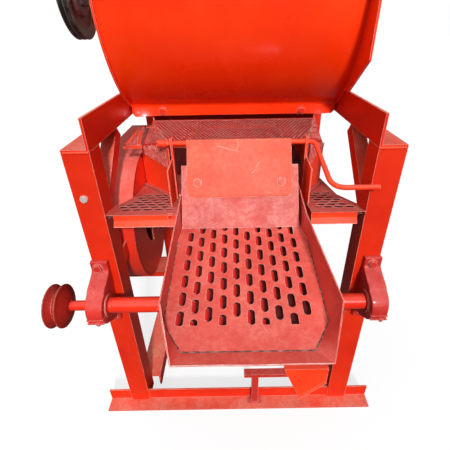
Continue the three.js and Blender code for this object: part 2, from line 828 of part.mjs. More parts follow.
function sideShelf() {
  const outer = -(legInner - 2 * seat - plate);
  const inner = -throatHalf - seat;
  const ductFront = throatFrontY + flangeWall / 2 + seat;
  const outline = [
    [outer, shelfFront],
    [shelfFrontRight, shelfFront],
    [shelfWaist, ductFront - flangeWall],
    [shelfWaist, ductFront],
    [inner, ductFront],
    [inner, shelfBack],
    [outer, shelfBack],
  ];
  const top = alongZ(shapeOf(outline), shelfZ - sheet, shelfZ);
  const lip = box(outer, shelfFrontRight, shelfFront, shelfFront + sheet, shelfZ - shelfLip, shelfZ);
  addPiece("hood_side_shelf", joined(top, lip), dusty);
}

// Wings
function wing(name, side, inner) {
  const outer = side * (legInner - seat);
  const narrow = side * (Math.abs(fanInnerX) - overrun);
  const legBack = angleWidth + seat;
  const outline = [
    [inner, 0],
    [outer, 0],
    [outer, legBack],
    [narrow, wingTaperEnd],
    [narrow, wingDepth],
    [inner, wingDepth],
  ];
  const slots = [];
  for (let row = 0; row < wingSlotRows; row += 1) {
    const y = wingSlotFront + wingSlotPitchY * row;
    const taper = THREE.MathUtils.inverseLerp(legBack, wingTaperEnd, y);
    const edge = THREE.MathUtils.lerp(outer, narrow, THREE.MathUtils.clamp(taper, 0, 1));
    const shift = row % 2 ? wingSlotPitchX / 2 : 0;
    const spare = Math.abs(edge - inner) - 2 * wingSlotEdge - wingSlotLength - shift;
    for (let reach = 0; reach <= spare; reach += wingSlotPitchX) {
      const x = inner + side * (wingSlotEdge + wingSlotLength / 2 + shift + reach);
      slots.push(slotX(x, y, wingSlotLength, wingSlotWidth));
    }
  }
  const flat = alongZ(shapeOf(outline, slots), -sheet, 0);
  const sloped = flat.applyMatrix4(new THREE.Matrix4().set(
    1, 0, 0, 0, 0, 1, 0, 0, 0, -wingFallShare, 1, wingZ, 0, 0, 0, 1,
  ));
  const apronX = [
    inner, side * (legInner - seat - apronSetback),
  ].sort((a, b) => a - b);
  const apron = box(...apronX, plate, plate + sheet, wingZ - apronHeight, wingZ - sheet);
  addPiece(name, joined(sloped, apron), dusty);
}

// A slot's outline with its length along X.
const slotX = (x, y, length, width) => {
  const reach = (length - width) / 2;
  return [
    ...arc(x + reach, y, width / 2, -90, 90, 2),
    ...arc(x - reach, y, width / 2, 90, 270, 2),
  ];
};

// Tray, in the shaker's own frame
function traySlots() {
  const slots = [];
  for (let column = 0; column < slotColumns; column += 1) {
    const x = slotMiddle + slotPitchX * (column - (slotColumns - 1) / 2);
    const stagger = column % 2 ? slotPitchY / 2 : slotPitchY;
    for (let y = slotStart + slotSkew * column - stagger; y < slotRear; y += slotPitchY) {
      const half = slotWidth / 2;
      const front = y - slotLength / 2;
      const back = y + slotLength / 2 - half;
      if (back < slotFront + half) continue;
      const foot = front < slotFront
        ? [[x - half, slotFront], [x + half, slotFront]]
        : arc(x, front + half, half, 180, 360, 2);
      slots.push([...arc(x, back, half, 0, 180, 2), ...foot]);
    }
  }
  return slots;
}

// Half the floor's width at the rear, where the flare starts, at the corners and at the front.
const trayStations = ({ rear, front, fold }) => [
  [rear, 0], [rear, -flareStart], [front, -trayStraight], [fold, -trayFloorLength],
];

function tray() {
  const lap = sheet / 2; // how far the floor runs into the foot of the walls
  const outline = [
    ...trayStations(trayLeft).map(([half, y]) => [-half - lap, y]),
    ...trayStations(trayRight).map(([half, y]) => [half + lap, y]).reverse(),
  ];
  const slots = traySlots().map((slot) => shapeOf(slot));
  const floor = cut(
    alongZ(shapeOf(outline), -sheet, 0), alongZ(slots, -sheet - overrun, overrun),
  );
  const pieces = [floor];
  const lipFront = -trayFloorLength - lipReach;
  pieces.push(sheetQuad([
    [-trayLeft.fold, -trayFloorLength, -sheet],
    [trayRight.fold, -trayFloorLength, -sheet],
    [trayRight.lip, lipFront, lipRise - sheet],
    [-trayLeft.lip, lipFront, lipRise - sheet],
  ].reverse(), sheet));
  for (const [side, edge] of [[-1, trayLeft], [1, trayRight]]) {
    const heads = [
      [edge.rear + rearFlare, 0, trayWallHeight],
      [edge.rear + rearFlare, -flareStart, trayWallHeight],
      [edge.front + edge.flare, -trayStraight, trayWallHeight],
      [edge.lip, lipFront, lipRise],
    ];
    const stations = trayStations(edge).map(([half, y], i) => [
      [side * half, y, -sheet], [side * heads[i][0], heads[i][1], heads[i][2]],
    ]);
    for (let i = 1; i < stations.length; i += 1) {
      const [[footA, headA], [footB, headB]] = [stations[i - 1], stations[i]];
      const ring = [footA, footB, headB, headA];
      pieces.push(between(ring, ring.map(([x, y, z]) => [x + side * sheet, y, z])));
    }
  }
  addPiece("sieve_tray", joined(...pieces), dusty, shaker);
}

function deck() {
  const from = seat;
  const to = seat + deckLength;
  const walls = [[-1, trayLeft.rear], [1, trayRight.rear]].map(([side, half]) => {
    const faces = [side * half, side * (half + sheet)].sort((a, b) => a - b);
    return box(...faces, from, to, -sheet, deckWallHeight);
  });
  const floor = box(-trayLeft.rear - sheet, trayRight.rear + sheet, from, to, -sheet, 0);
  addPiece("sieve_deck", joined(floor, ...walls), dusty, shaker);
}

// Height of the underside of the rear deck, less a seat, at a depth in the machine's frame.
const restHeight = (y) =>
  trayZ + (y - trayY) * Math.tan(slopeTurn) - (sheet + seat) / Math.cos(slopeTurn);

function runners() {
  for (const [name, side, inner, half] of [
    ["left", -1, wingLeftInner, trayLeft.rear],
    ["right", 1, wingRightInner, trayRight.rear],
  ]) {
    const outer = inner + side * runnerWidth;
    const web = inner + side * (2 * seat);
    const section = (y) => {
      const head = wingTop(y) - sheet - 2 * seat;
      const rest = restHeight(y);
      const tip = trayX + side * (half - runnerWidth / 2);
      return { head, rest, tip };
    };
    const [front, back] = [section(runnerFrontY), section(runnerBackY)];
    const bar = (pick) => between(
      pick(front).map(([x, z]) => [x, runnerFrontY, z]),
      pick(back).map(([x, z]) => [x, runnerBackY, z]),
    );
    const top = bar(({ head }) => [
      [web, head - runnerWall], [outer, head - runnerWall], [outer, head], [web, head],
    ]);
    const upright = bar(({ head, rest }) => [
      [web, rest - runnerWall], [web + side * runnerWall, rest - runnerWall],
      [web + side * runnerWall, head], [web, head],
    ]);
    const shelf = bar(({ rest, tip }) => [
      [tip, rest - runnerWall], [web + side * runnerWall, rest - runnerWall],
      [web + side * runnerWall, rest], [tip, rest],
    ]);
    addPiece(`tray_runner_${name}`, joined(top, upright, shelf), shade);
  }
}

// Shaker drive
function pitmanBracket() {
  const half = pitmanWidth / 2 + bracketPlay;
  const outer = half + bracketWall;
  const top = -sheet - seat;
  const pad = box(
    -outer, outer, bracketPinBack - bracketLength / 2, bracketPinBack + bracketLength / 2,
    top - bracketWall, top,
  );
  const cheek = [
    [bracketPinBack - bracketLength / 2, top],
    [bracketPinBack - bracketWall - shakerPinRadius, -bracketPinDrop],
    ...arc(bracketPinBack, -bracketPinDrop, shakerPinRadius + bracketWall, 180, 360, 8).slice(1),
    [bracketPinBack + bracketLength / 2, top],
  ];
  const cheeks = [-1, 1].map((side) => {
    const faces = [side * half, side * outer].sort((a, b) => a - b);
    return alongX(shapeOf(cheek), ...faces);
  });
  const pin = barX(bracketPinBack, -bracketPinDrop, shakerPinRadius, -outer, outer, 16);
  addPiece("pitman_bracket", joined(pad, ...cheeks, pin), shade, shaker);
}

function pitman() {
  const pinY = trayY + Math.cos(slopeTurn) * bracketPinBack + Math.sin(slopeTurn) * bracketPinDrop;
  const pinZ = trayZ + Math.sin(slopeTurn) * bracketPinBack - Math.cos(slopeTurn) * bracketPinDrop;
  const bigY = shaftY;
  const bigZ = shaftZ + throwLength;
  const bigBore = eccentricRadius + running;
  const eyeBore = shakerPinRadius + shakerPinPlay;
  const from = trayX - pitmanWidth / 2;
  const to = trayX + pitmanWidth / 2;
  const run = new THREE.Vector2(pinY - bigY, pinZ - bigZ).normalize();
  const side = [-run.y, run.x];
  const half = pitmanRodHeight / 2;
  const rod = [[bigY, bigZ, -half], [pinY, pinZ, -half], [pinY, pinZ, half], [bigY, bigZ, half]]
    .map(([y, z, off]) => [y + side[0] * off, z + side[1] * off]);
  const body = joined(
    barX(bigY, bigZ, bigBore + pitmanRing, from, to, 32),
    barX(pinY, pinZ, eyeBore + shakerEyeRing, from, to, 24),
    alongX(shapeOf(rod), from, to),
  );
  addPiece("pitman", cut(
    body,
    barX(bigY, bigZ, bigBore, from - overrun, to + overrun, 32),
    barX(pinY, pinZ, eyeBore, from - overrun, to + overrun, 24),
  ), shade);
  const cam = circle(bigY, bigZ, eccentricRadius, 32);
  const bore = circle(shaftY, shaftZ, shaftRadius + seat, 24);
  const camFrom = trayX - eccentricWidth / 2;
  addPiece("shaker_eccentric", alongX(shapeOf(cam, [bore]), camFrom, camFrom + eccentricWidth), steel);
}

function frontShaft() {
  const shoulder = blockX - blockWidth / 2 - seat;
  const left = pulleyX - pulleyWidth / 2 - shaftNib;
  const right = blockX + blockWidth / 2;
  addPiece("front_shaft", turnedX([
    [0, left], [journalRadius, left], [journalRadius, -shoulder], [shaftRadius, -shoulder],
    [shaftRadius, shoulder], [journalRadius, shoulder], [journalRadius, right], [0, right],
  ], shaftY, shaftZ), gloss);
  vPulley("front_pulley", shaftY, shaftZ, frontPulleyRadius, journalRadius, dusty);
  const back = -seat;
  const face = back - blockFootWall;
  const outline = [
    [back, shaftZ + blockFootHalf],
    [face, shaftZ + blockFootHalf],
    [face, shaftZ + blockNeck],
    ...arc(shaftY, shaftZ, blockHousing, 90, 270, 14),
    [face, shaftZ - blockNeck],
    [face, shaftZ - blockFootHalf],
    [back, shaftZ - blockFootHalf],
  ];
  const bore = circle(shaftY, shaftZ, journalRadius + running, 24);
  for (const side of [-1, 1]) {
    const middle = side * blockX;
    const block = alongX(shapeOf(outline, [bore]), middle - blockWidth / 2, middle + blockWidth / 2);
    addPiece(`front_bearing_${side < 0 ? "left" : "right"}`, block, shade);
  }
}

// Gate
const along = [-Math.cos(tiltTurn), -Math.sin(tiltTurn)]; // down the closed gate, as (y, z)
const outOf = [-Math.sin(tiltTurn), Math.cos(tiltTurn)]; // square to it, to the front
const gatePoint = (reach, off) => [
  rodY + along[0] * reach + outOf[0] * off,
  rodZ + along[1] * reach + outOf[1] * off,
];

function gateSheets() {
  const inner = rodRadius + running;
  const outer = inner + sheet;
  const start = gateTilt + 90;
  const curl = -60;
  const leaf = [
    ...arc(rodY, rodZ, inner, curl, start, 10),
    gatePoint(leafLength, inner),
    gatePoint(leafLength, outer),
    ...arc(rodY, rodZ, outer, start, curl, 10),
  ];
  addPiece("gate_leaf", alongX(
    shapeOf(leaf), outletX - leafWidth / 2, outletX + leafWidth / 2,
  ), dusty);
  const flap = [
    gatePoint(flapStart, inner - seat), gatePoint(flapEnd, inner - seat),
    gatePoint(flapEnd, inner - seat - sheet), gatePoint(flapStart, inner - seat - sheet),
  ];
  const flapX = outletX + flapShift;
  addPiece("gate_flap", alongX(shapeOf(flap), flapX - flapWidth / 2, flapX + flapWidth / 2), dusty);
  for (const side of [-1, 1]) {
    const head = new THREE.CylinderGeometry(
      gateBoltRadius * gateBoltTopShare, gateBoltRadius, gateBoltHeight, 12,
    );
    const [y, z] = gatePoint(gateBoltReach, outer + seat + gateBoltHeight / 2);
    head.rotateX(Math.PI / 2 + tiltTurn).translate(outletX + side * gateBoltX, y, z);
    addPiece(`gate_bolt_${side < 0 ? "left" : "right"}`, head, dusty);
  }
}

function gateRod() {
  const path = new THREE.CurvePath();
  const bend = (from, corner, to, radius) => {
    const inTo = corner.clone().add(from.clone().sub(corner).setLength(radius));
    const outFrom = corner.clone().add(to.clone().sub(corner).setLength(radius));
    return [inTo, outFrom];
  };
  const start = new THREE.Vector3(rodLeft, rodY, rodZ);
  const elbowX = outletX + strapOffset + strapWall + crankBend / 2;
  const elbow = new THREE.Vector3(elbowX, rodY, rodZ);
  const hand = new THREE.Vector3(crankX, crankY, crankZ);
  const tip = new THREE.Vector3(gripX, crankY, crankZ);
  const [elbowIn, elbowOut] = bend(start, elbow, hand, crankBend / 2);
  const [handIn, handOut] = bend(elbow, hand, tip, crankBend);
  path.add(new THREE.LineCurve3(start, elbowIn));
  path.add(new THREE.QuadraticBezierCurve3(elbowIn, elbow, elbowOut));
  path.add(new THREE.LineCurve3(elbowOut, handIn));
  path.add(new THREE.QuadraticBezierCurve3(handIn, hand, handOut));
  path.add(new THREE.LineCurve3(handOut, tip));
  const section = shapeOf(circle(0, 0, rodRadius, 8));
  const rod = new THREE.ExtrudeGeometry(section, { steps: 40, extrudePath: path, bevelEnabled: false });
  const stub = barX(rodY, rodZ, stubRadius, rodLeft - stubLength / 2, rodLeft + stubLength / 2 - overrun, 16);
  addPiece("gate_rod", joined(rod, stub), gloss);
}

function gateStraps() {
  for (const side of [-1, 1]) {
    const middle = outletX + side * strapOffset;
    const faces = [middle - strapWall / 2, middle + strapWall / 2];
    const half = strapDepth / 2;
    const foot = (y) => wingTop(y) + seat;
    const outline = [
      [rodY - half, foot(rodY - half)],
      [rodY + half, foot(rodY + half)],
      [rodY + half, rodZ + strapTop],
      [rodY - half, rodZ + strapTop],
    ];
    const hole = circle(rodY, rodZ, rodRadius + running, 16);
    const strap = alongX(shapeOf(outline, [hole]), ...faces);
    const guide = [
      [guideFrontY, foot(guideFrontY) + sheet],
      [rodY, foot(rodY)],
      [rodY, guideTopZ - (rodY - guideBackY)],
      [guideBackY, guideTopZ],
      [guideFrontY, guideTopZ - plate],
    ];
    const guideFaces = [faces[side < 0 ? 0 : 1], faces[side < 0 ? 0 : 1] - side * sheet].sort(
      (a, b) => a - b,
    );
    addPiece(`gate_strap_${side < 0 ? "left" : "right"}`, joined(
      strap, alongX(shapeOf(guide), ...guideFaces),
    ), gloss);
  }
}

// Fan
function fan() {
  const outerX = fanInnerX - fanWidth;
  const ductFoot = fanZ + fanRadius - fanDuctHeight;
  const duct = (wall, extra) => [
    [fanY, ductFoot + wall], [fanDuctEnd + extra, ductFoot + wall],
    [fanDuctEnd + extra, fanZ + fanRadius - wall], [fanY, fanZ + fanRadius - wall],
  ];
  const lug = box(
    -legInner - angleWall, -legInner, angleWidth + seat, fanY - fanRadius + plate,
    fanZ - lugHeight / 2, fanZ + lugHeight / 2,
  );
  const baseTop = fanZ - fanRadius + plate;
  const base = [
    [fanBaseY, baseTop], [fanBaseY + fanBaseDepth, baseTop],
    [fanBaseY + fanBaseDepth, baseTop - plate], [fanBaseY + plate, baseTop - plate],
    [fanBaseY + plate, baseTop - fanBaseDrop], [fanBaseY, baseTop - fanBaseDrop],
  ];
  const body = joined(
    barX(fanY, fanZ, fanRadius, outerX, fanInnerX, 36),
    alongX(shapeOf(duct(0, 0)), outerX, fanInnerX),
    alongX(shapeOf(base), outerX, fanBaseRight),
    lug,
  );
  const hollow = joined(
    barX(fanY, fanZ, fanRadius - fanWall, outerX + fanWall, fanInnerX - fanWall, 36),
    alongX(shapeOf(duct(fanWall, overrun)), outerX + fanWall, fanInnerX - fanWall),
  );
  const eye = barX(fanY, fanZ, fanEyeRadius, fanInnerX - fanWall - overrun, fanInnerX + overrun, 24);
  const shell = cut(body, hollow, eye);
  const spider = joined(
    box(
      fanInnerX - fanWall, fanInnerX, fanY - fanSpiderWidth / 2, fanY + fanSpiderWidth / 2,
      fanZ - fanEyeRadius - plate, fanZ + fanEyeRadius + plate,
    ),
    shell,
  );
  const bore = barX(fanY, fanZ, fanShaftRadius + running, outerX - overrun, fanInnerX + overrun, 20);
  addPiece("fan_housing", cut(spider, bore), gloss);
  const shaftEnd = pulleyX - pulleyWidth / 2 - shaftNib;
  addPiece("fan_shaft", barX(fanY, fanZ, fanShaftRadius, shaftEnd, fanInnerX + plate, 20), steel);
  flangeBearing(
    "fan_bearing", outerX, -1, fanY, fanZ, fanShaftRadius, fanBearingRadius, fanBearingLength,
  );
  vPulley("fan_pulley", fanY, fanZ, fanPulleyRadius, fanShaftRadius, steel);
  const middle = fanInnerX - fanWidth / 2;
  const half = fanBladeWidth / 2;
  const blades = Array.from({ length: fanBlades }, (_, i) => box(
    middle - half, middle + half, -fanBladeWall / 2, fanBladeWall / 2,
    fanHubRadius - plate, fanBladeRadius,
  ).rotateX((2 * Math.PI * i) / fanBlades));
  const hub = barX(0, 0, fanHubRadius, middle - half, middle + half);
  const hole = barX(0, 0, fanShaftRadius + seat, middle - fanWidth, middle + fanWidth, 20);
  addPiece("fan_impeller", cut(joined(hub, ...blades), hole).translate(0, fanY, fanZ), shade);
}

// Low front pieces
function lowPieces() {
  const back = angleWall + seat;
  const postLeft = standX - standPostWidth / 2;
  addPiece("spout_stand", joined(
    box(
      standX - standBaseWidth / 2, standX + standBaseWidth / 2, back - standDepth - plate, back - seat,
      plate + seat, 2 * plate + seat,
    ),
    box(postLeft, postLeft + standPostWidth, back - standDepth, back - seat, plate + seat, standBarZ),
    box(
      standBarFrom, standBarTo, back - standDepth, back - seat,
      standBarZ - seat, standBarZ + standBarHeight,
    ),
  ), shade);
  const face = [
    [spoutLeft, spoutTopZ], [spoutTipX, spoutTipZ], [spoutRight, spoutRightZ], [spoutRight, spoutTopZ],
  ];
  const front = back - standDepth - seat - sheet;
  const lowerEdge = sheetQuad([
    [spoutTipX, front - spoutBend, spoutTipZ - spoutBend],
    [spoutRight, front - spoutBend, spoutRightZ - spoutBend],
    [spoutRight, front + sheet, spoutRightZ],
    [spoutTipX, front + sheet, spoutTipZ],
  ], sheet);
  const side = box(spoutLeft, spoutRight, front, front + spoutDepth, spoutTopZ - sheet, spoutTopZ);
  addPiece("outlet_spout", joined(alongY(shapeOf(face), front, front + sheet), lowerEdge, side), gloss);
  const head = new THREE.CylinderGeometry(legBoltRadius, legBoltRadius, legBoltHeight, 6);
  head.translate(0, legBoltHeight / 2, 0).rotateX(Math.PI);
  addPiece("leg_bolt", head.translate(legBoltX, -seat, legBoltZ), steel);
}

legs();
rails();
footBars();
rearBeam();
kneeBraces();
wrappers();
coverAndHopper();
endPlates();
drum();
rotor();
concave();
hoodCheeks();
hoodCover();
throat();
sideShelf();
wing("wing_left", -1, wingLeftInner);
wing("wing_right", 1, wingRightInner);
tray();
deck();
runners();
pitmanBracket();
pitman();
frontShaft();
gateSheets();
gateRod();
gateStraps();
fan();
lowPieces();

export default machine;
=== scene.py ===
"""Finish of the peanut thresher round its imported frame: paint, dust, wear, smooth sheet metal, fasteners.

Metres, X to the right, Y to the back, Z up, with the origin on the floor between the front legs.
"""

import math

import bmesh
import bpy
import numpy as np
from mathutils import Matrix, Vector


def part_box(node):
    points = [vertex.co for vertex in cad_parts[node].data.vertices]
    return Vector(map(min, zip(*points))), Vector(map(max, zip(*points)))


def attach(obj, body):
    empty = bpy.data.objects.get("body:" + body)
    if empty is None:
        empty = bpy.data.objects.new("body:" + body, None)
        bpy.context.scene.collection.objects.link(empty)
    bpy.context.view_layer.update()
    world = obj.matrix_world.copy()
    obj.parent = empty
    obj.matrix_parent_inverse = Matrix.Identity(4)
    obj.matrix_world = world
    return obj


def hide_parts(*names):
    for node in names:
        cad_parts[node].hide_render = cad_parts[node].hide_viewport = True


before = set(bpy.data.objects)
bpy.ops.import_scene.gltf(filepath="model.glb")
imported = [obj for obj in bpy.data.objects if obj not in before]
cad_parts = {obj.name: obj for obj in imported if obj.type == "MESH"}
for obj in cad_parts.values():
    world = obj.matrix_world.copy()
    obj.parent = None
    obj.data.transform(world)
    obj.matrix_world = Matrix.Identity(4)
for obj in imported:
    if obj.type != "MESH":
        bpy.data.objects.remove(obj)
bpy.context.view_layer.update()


def corners_of(node):
    """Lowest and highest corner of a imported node, as arrays."""
    low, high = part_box(node)
    return np.array(low), np.array(high)


# Stock and clearances
SHEET = 0.0025
SEAT = 0.0003
PLAY = 0.0004
SHEET_ROUNDING = 0.0006

# Frame: just behind a leg, the rail's face that its bolts sit on, and the bolt beside each knee brace
LEG_BACK = 0.0623
RAIL_FACE = 0.315
BRACE_BOLT_PLACE = (0.3700, 0.0915, 0.832)

# Drum casing
CASING_RADIUS = 0.307
CASING_WALL = 0.003
CASING_AXIS = (0.492, 1.2)
THROAT_FRONT = 0.350
STRIP_WALL = 0.004
STRIP_CORNER = 0.009
STRIP_DROP = 0.036
STRIP_KNOCKS = ((-0.285, 0.040, 0.013), (0.262, 0.034, 0.006))
STRIP_WAVE = (0.0006, 31)
SPLIT_FLANGE = 0.025
FOLD_RADIUS = 0.006
CHUTE_ANGLES = (25.4, 64.6)
CHUTE_HALF_WIDTH = 0.207
# A sheet of painted shade hangs behind the deck
SHADE_SHEET_DROP = 0.205
SHADE_SHEET_LAP = 0.050
SHADE_SHEET_SPAN = (-0.279, 0.300)
SHADE_SHEET_BOLTS = 0.215

# Front shaft, and the axis, shaft radius and pulley grooves of the two plain spindles
SHAFT_AXIS = (-0.060, 0.516)
FAN_AXIS = (0.308, 0.584)
SHAFT_RADIUS = 0.020
JOURNAL_RADIUS = 0.013
JOURNAL_BORE = JOURNAL_RADIUS + PLAY
RING_HEIGHT = 0.003
SPINDLES = {"drum": (CASING_AXIS, 0.020, 2), "fan": (FAN_AXIS, 0.012, 1)}

# Fan scroll
FAN_RADIUS = 0.211
FAN_WALL = 0.003
FAN_INNER_SIDE = -0.284
FAN_MOUTH = 0.640
FAN_DUCT = 0.155
FAN_BORE_CUT = 0.013
FAN_EYE = 0.095
FAN_EYE_BAR = 0.024
FAN_STEP = 0.004
FAN_RIM = 0.0022
FAN_BASE = (0.245, 0.335)
FAN_BASE_WALL = 0.005
FAN_BASE_DROP = 0.022
FAN_STAY = (-0.315, -0.309)
FAN_STAY_HALF = 0.025

# Gate
ROD_AXIS = (0.140, 0.873)
ROD_RADIUS = 0.006
ROD_START = 0.0115
ROD_ELBOW = 0.0195
ROD_HAND = 0.215
ROD_BENDS = (0.017, 0.034)
ROD_CAPS = (0.0004, 0.0006)
STUB_RADIUS = 0.009
STUB_LENGTH = 0.024
GATE_TILT = math.radians(59)
GATE_DOWN = np.array([-math.cos(GATE_TILT), -math.sin(GATE_TILT)])
GATE_OUT = np.array([-math.sin(GATE_TILT), math.cos(GATE_TILT)])
LEAF_LENGTH = 0.140
LEAF_CORNER = 0.014
LEAF_BOW = 0.0012
LEAF_BOLT_REACH = 0.102

# Tray, in its own frame: y along its slope, z square to it
TRAY_PLACE = (0.018, 0.150, 0.709)
TRAY_SLOPE = math.radians(8.9)
TRAY_HEIGHT = 0.062
TRAY_LENGTH = 0.461
TRAY_STRAIGHT = 0.402
TRAY_FLARE_START = 0.155
TRAY_STEP_OUT = (0.140, 0.175)
TRAY_LIP_REACH = 0.029
TRAY_LIP_RISE = 0.011
TRAY_LIP_WAVE = (0.0012, 9)
TRAY_BOW = 0.0016
TRAY_REACH = (-0.165, 0.1615)
TRAY_LEFT = {"rear": 0.153, "front": 0.158, "head": 0.154, "fold": 0.118, "lip": 0.131}
TRAY_RIGHT = {"rear": 0.147, "front": 0.155, "head": 0.170, "fold": 0.119, "lip": 0.144}
TRAY_SLOT = (0.015, 0.036)
TRAY_PITCH = (0.0274, 0.0467)
TRAY_SLOT_COLUMNS = 10
TRAY_SLOT_MIDDLE = -0.0043
TRAY_SLOT_START = -0.391
TRAY_SLOT_SKEW = 0.005
TRAY_SLOT_FRONT = -0.407
TRAY_SLOT_REAR = -0.110
TRAY_FLAPS_END = (0.045, -0.340)
TRAY_FLAP = (0.0068, 0.0085)
TRAY_STEP = 0.003

# Wings
WING_TOP = 0.745
WING_FALL = 0.1655
WING_SLOT = (0.0235, 0.0145)
WING_SKIN = 0.0009
WING_PITCH = (0.027, 0.020)
WING_SLOT_EDGE = 0.009
WING_SLOT_FRONT = 0.038
WING_SLOT_ROWS = 7
WING_TAPER = (LEG_BACK, 0.145)
WING_NARROW = 0.282
WING_STEP = 0.0025
APRON_HEIGHT = 0.031
APRON_FACE = 0.005
APRON_KICK = 0.0095
APRON_SHORT = 0.016
WING_BACKING_DROP = 0.008
WING_BURR = 0.0006
WING_BACKING_FROM = {"wing_left": 0.176, "wing_right": 0.214}

# Hood
HOOD_FRONT_HEIGHT = 0.865
HOOD_FRONT = 0.1525
HOOD_CORNER = (0.298, 0.818)
HOOD_BACK = (0.3477, 0.881)
THROAT_HALF = 0.246
DIAMOND = (0.0105, 0.0190)
CHEEK_DIAMOND = (0.0100, 0.0150)
DIAMOND_OPEN = 0.8
HOOD_BORDER = 0.007
HOOD_FRONT_LEFT = float(corners_of("hood_cheek_left")[1][0])
HOOD_FRONT_RIGHT = float(corners_of("hood_cheek_right")[0][0])

# Cheeks: front and back corner in plan and how far the mesh hangs down in front
CHEEKS = {
    "left": ((-0.172, 0.151), (-0.2815, 0.2985), 0.062),
    "right": ((0.189, 0.1513), (0.2714, 0.2985), 0.075),
}
CHEEK_TOP = (0.8615, 0.8150)
CHEEK_STAND_OFF = 0.0022
CHEEK_FOOT = 0.013

# Side shelf: its right edge steps in behind the gate's strap
SHELF_EDGE = 0.009
SHELF_INSET = 0.006
SHELF_WAIST = (0.026, 0.147)

# Bolts: across the flats, height of the head, radius of the washer
APRON_BOLT = (0.011, 0.006, 0.0085)
JOINT_BOLT = (0.013, 0.007, 0.0105)
COVER_BOLT = (0.013, 0.008, 0.0105)
RAIL_BOLT = (0.016, 0.009, 0.0125)
STRIP_BOLT = (0.017, 0.008, 0.0125)
BLOCK_BOLT = (0.019, 0.009, 0.013)
LEAF_BOLT = (0.0155, 0.0062, 0.0108)
LEG_BOLT = (0.0165, 0.0052, 0.0)

# A direction that no bead of the tray runs along
BEAD_FACING = (0.1, 0.2, 0.97)

MERGE = 1e-6
SHARP = math.radians(34)


# Meshes


def stacked(*parts):
    """Coordinates, as arrays that match or as plain numbers, put together as an array of points."""
    return np.stack(np.broadcast_arrays(*parts), axis=-1)


def grid_faces(rows, columns, closed_rows=False, closed_columns=False):
    """Quads between neighbouring points of a grid; a closed direction joins its end to its start."""
    i = np.arange(rows if closed_rows else rows - 1)[:, None]
    j = np.arange(columns if closed_columns else columns - 1)[None, :]
    ahead, beside = (i + 1) % rows, (j + 1) % columns
    quads = stacked(i * columns + j, ahead * columns + j, ahead * columns + beside, i * columns + beside)
    return quads.reshape(-1, 4)


def surface(points, closed_rows=False, closed_columns=False):
    """A grid of points and the quads between them, as a shape."""
    return points, grid_faces(*points.shape[:2], closed_rows, closed_columns)


def ruled(foot, head, steps=9):
    """Points in equal steps on the straight line from each point of one line to its fellow on another."""
    return foot[:, None] + (head - foot)[:, None] * np.linspace(0, 1, steps)[None, :, None]


def together(parts):
    """Several (points, faces) shapes as one, with each later shape's faces counted on."""
    points, faces, count = [], [], 0
    for part_points, part_faces in parts:
        flat = np.asarray(part_points, float).reshape(-1, 3)
        points.append(flat)
        faces.extend((np.asarray(face) + count).tolist() for face in part_faces)
        count += len(flat)
    return np.concatenate(points), faces


def flipped(part):
    """The same shape with its faces turned to the other side."""
    points, faces = part
    return points, [list(face)[::-1] for face in faces]


def add_piece(name, part, finish, body, hides=(), wall=0.0, rounding=0.0, segments=2, even=True):
    """A finished piece at the origin. Its doubles are merged. A closed shape's faces are turned out, and an
    open sheet gets its wall behind the face that it shows, at full thickness in the folds if even is true.
    Edges over the sharp angle may be rounded."""
    points, faces = part
    mesh = bpy.data.meshes.new(name)
    flat = np.asarray(points, float).reshape(-1, 3)
    mesh.from_pydata(flat.tolist(), [], [list(map(int, face)) for face in faces])
    work = bmesh.new()
    work.from_mesh(mesh)
    bmesh.ops.remove_doubles(work, verts=work.verts, dist=MERGE)
    bmesh.ops.delete(work, geom=[v for v in work.verts if not v.link_faces], context="VERTS")
    if not wall:
        bmesh.ops.recalc_face_normals(work, faces=work.faces)
    work.to_mesh(mesh)
    work.free()
    piece = bpy.data.objects.new(name, mesh)
    bpy.context.scene.collection.objects.link(piece)
    if wall:
        thick = piece.modifiers.new("wall", "SOLIDIFY")
        thick.thickness, thick.offset, thick.use_even_offset = wall, -1, even
    if rounding:
        edge = piece.modifiers.new("rounding", "BEVEL")
        edge.width, edge.segments = rounding, segments
        edge.limit_method, edge.angle_limit = "ANGLE", SHARP
    if piece.modifiers:
        bpy.context.view_layer.update()
        graph = bpy.context.evaluated_depsgraph_get()
        piece.data = bpy.data.meshes.new_from_object(piece.evaluated_get(graph))
        piece.modifiers.clear()
    piece.data.polygons.foreach_set("use_smooth", np.ones(len(piece.data.polygons), bool))
    piece.data.set_sharp_from_angle(angle=SHARP)
    piece.data.materials.clear()
    piece.data.materials.append(finish)
    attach(piece, body)
    if hides:
        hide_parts(*hides)
    return piece


def turned(profile, axis, steps=72, closed=False):
    """A profile turned round an axis along X at (y, z): point (i, j) lies at the profile's x_j and
    radius_j, at angle i round the axis. A closed profile is a ring's section."""
    radius, along = np.array(profile, float).T
    angle = np.linspace(0, 2 * np.pi, steps, endpoint=False)[:, None]
    points = stacked(along, axis[0] + radius * np.cos(angle), axis[1] + radius * np.sin(angle))
    return surface(points, True, closed)


def tube(path, radius, facing, sides=20):
    """A round section carried along a path: ring i is a circle of radius_i square to the path there, and
    facing is a direction that never lines up with the path. A radius of zero closes an end."""
    path = np.asarray(path, float)
    heading = np.gradient(path, axis=0)
    heading /= np.linalg.norm(heading, axis=1, keepdims=True)
    beside = np.cross(heading, facing)
    beside /= np.linalg.norm(beside, axis=1, keepdims=True)
    above = np.cross(beside, heading)
    angle = np.linspace(0, 2 * np.pi, sides, endpoint=False)[:, None]
    ring = np.cos(angle) * beside[:, None] + np.sin(angle) * above[:, None]
    reach = np.broadcast_to(radius, len(path))[:, None, None]
    return surface(path[:, None] + reach * ring, False, True)


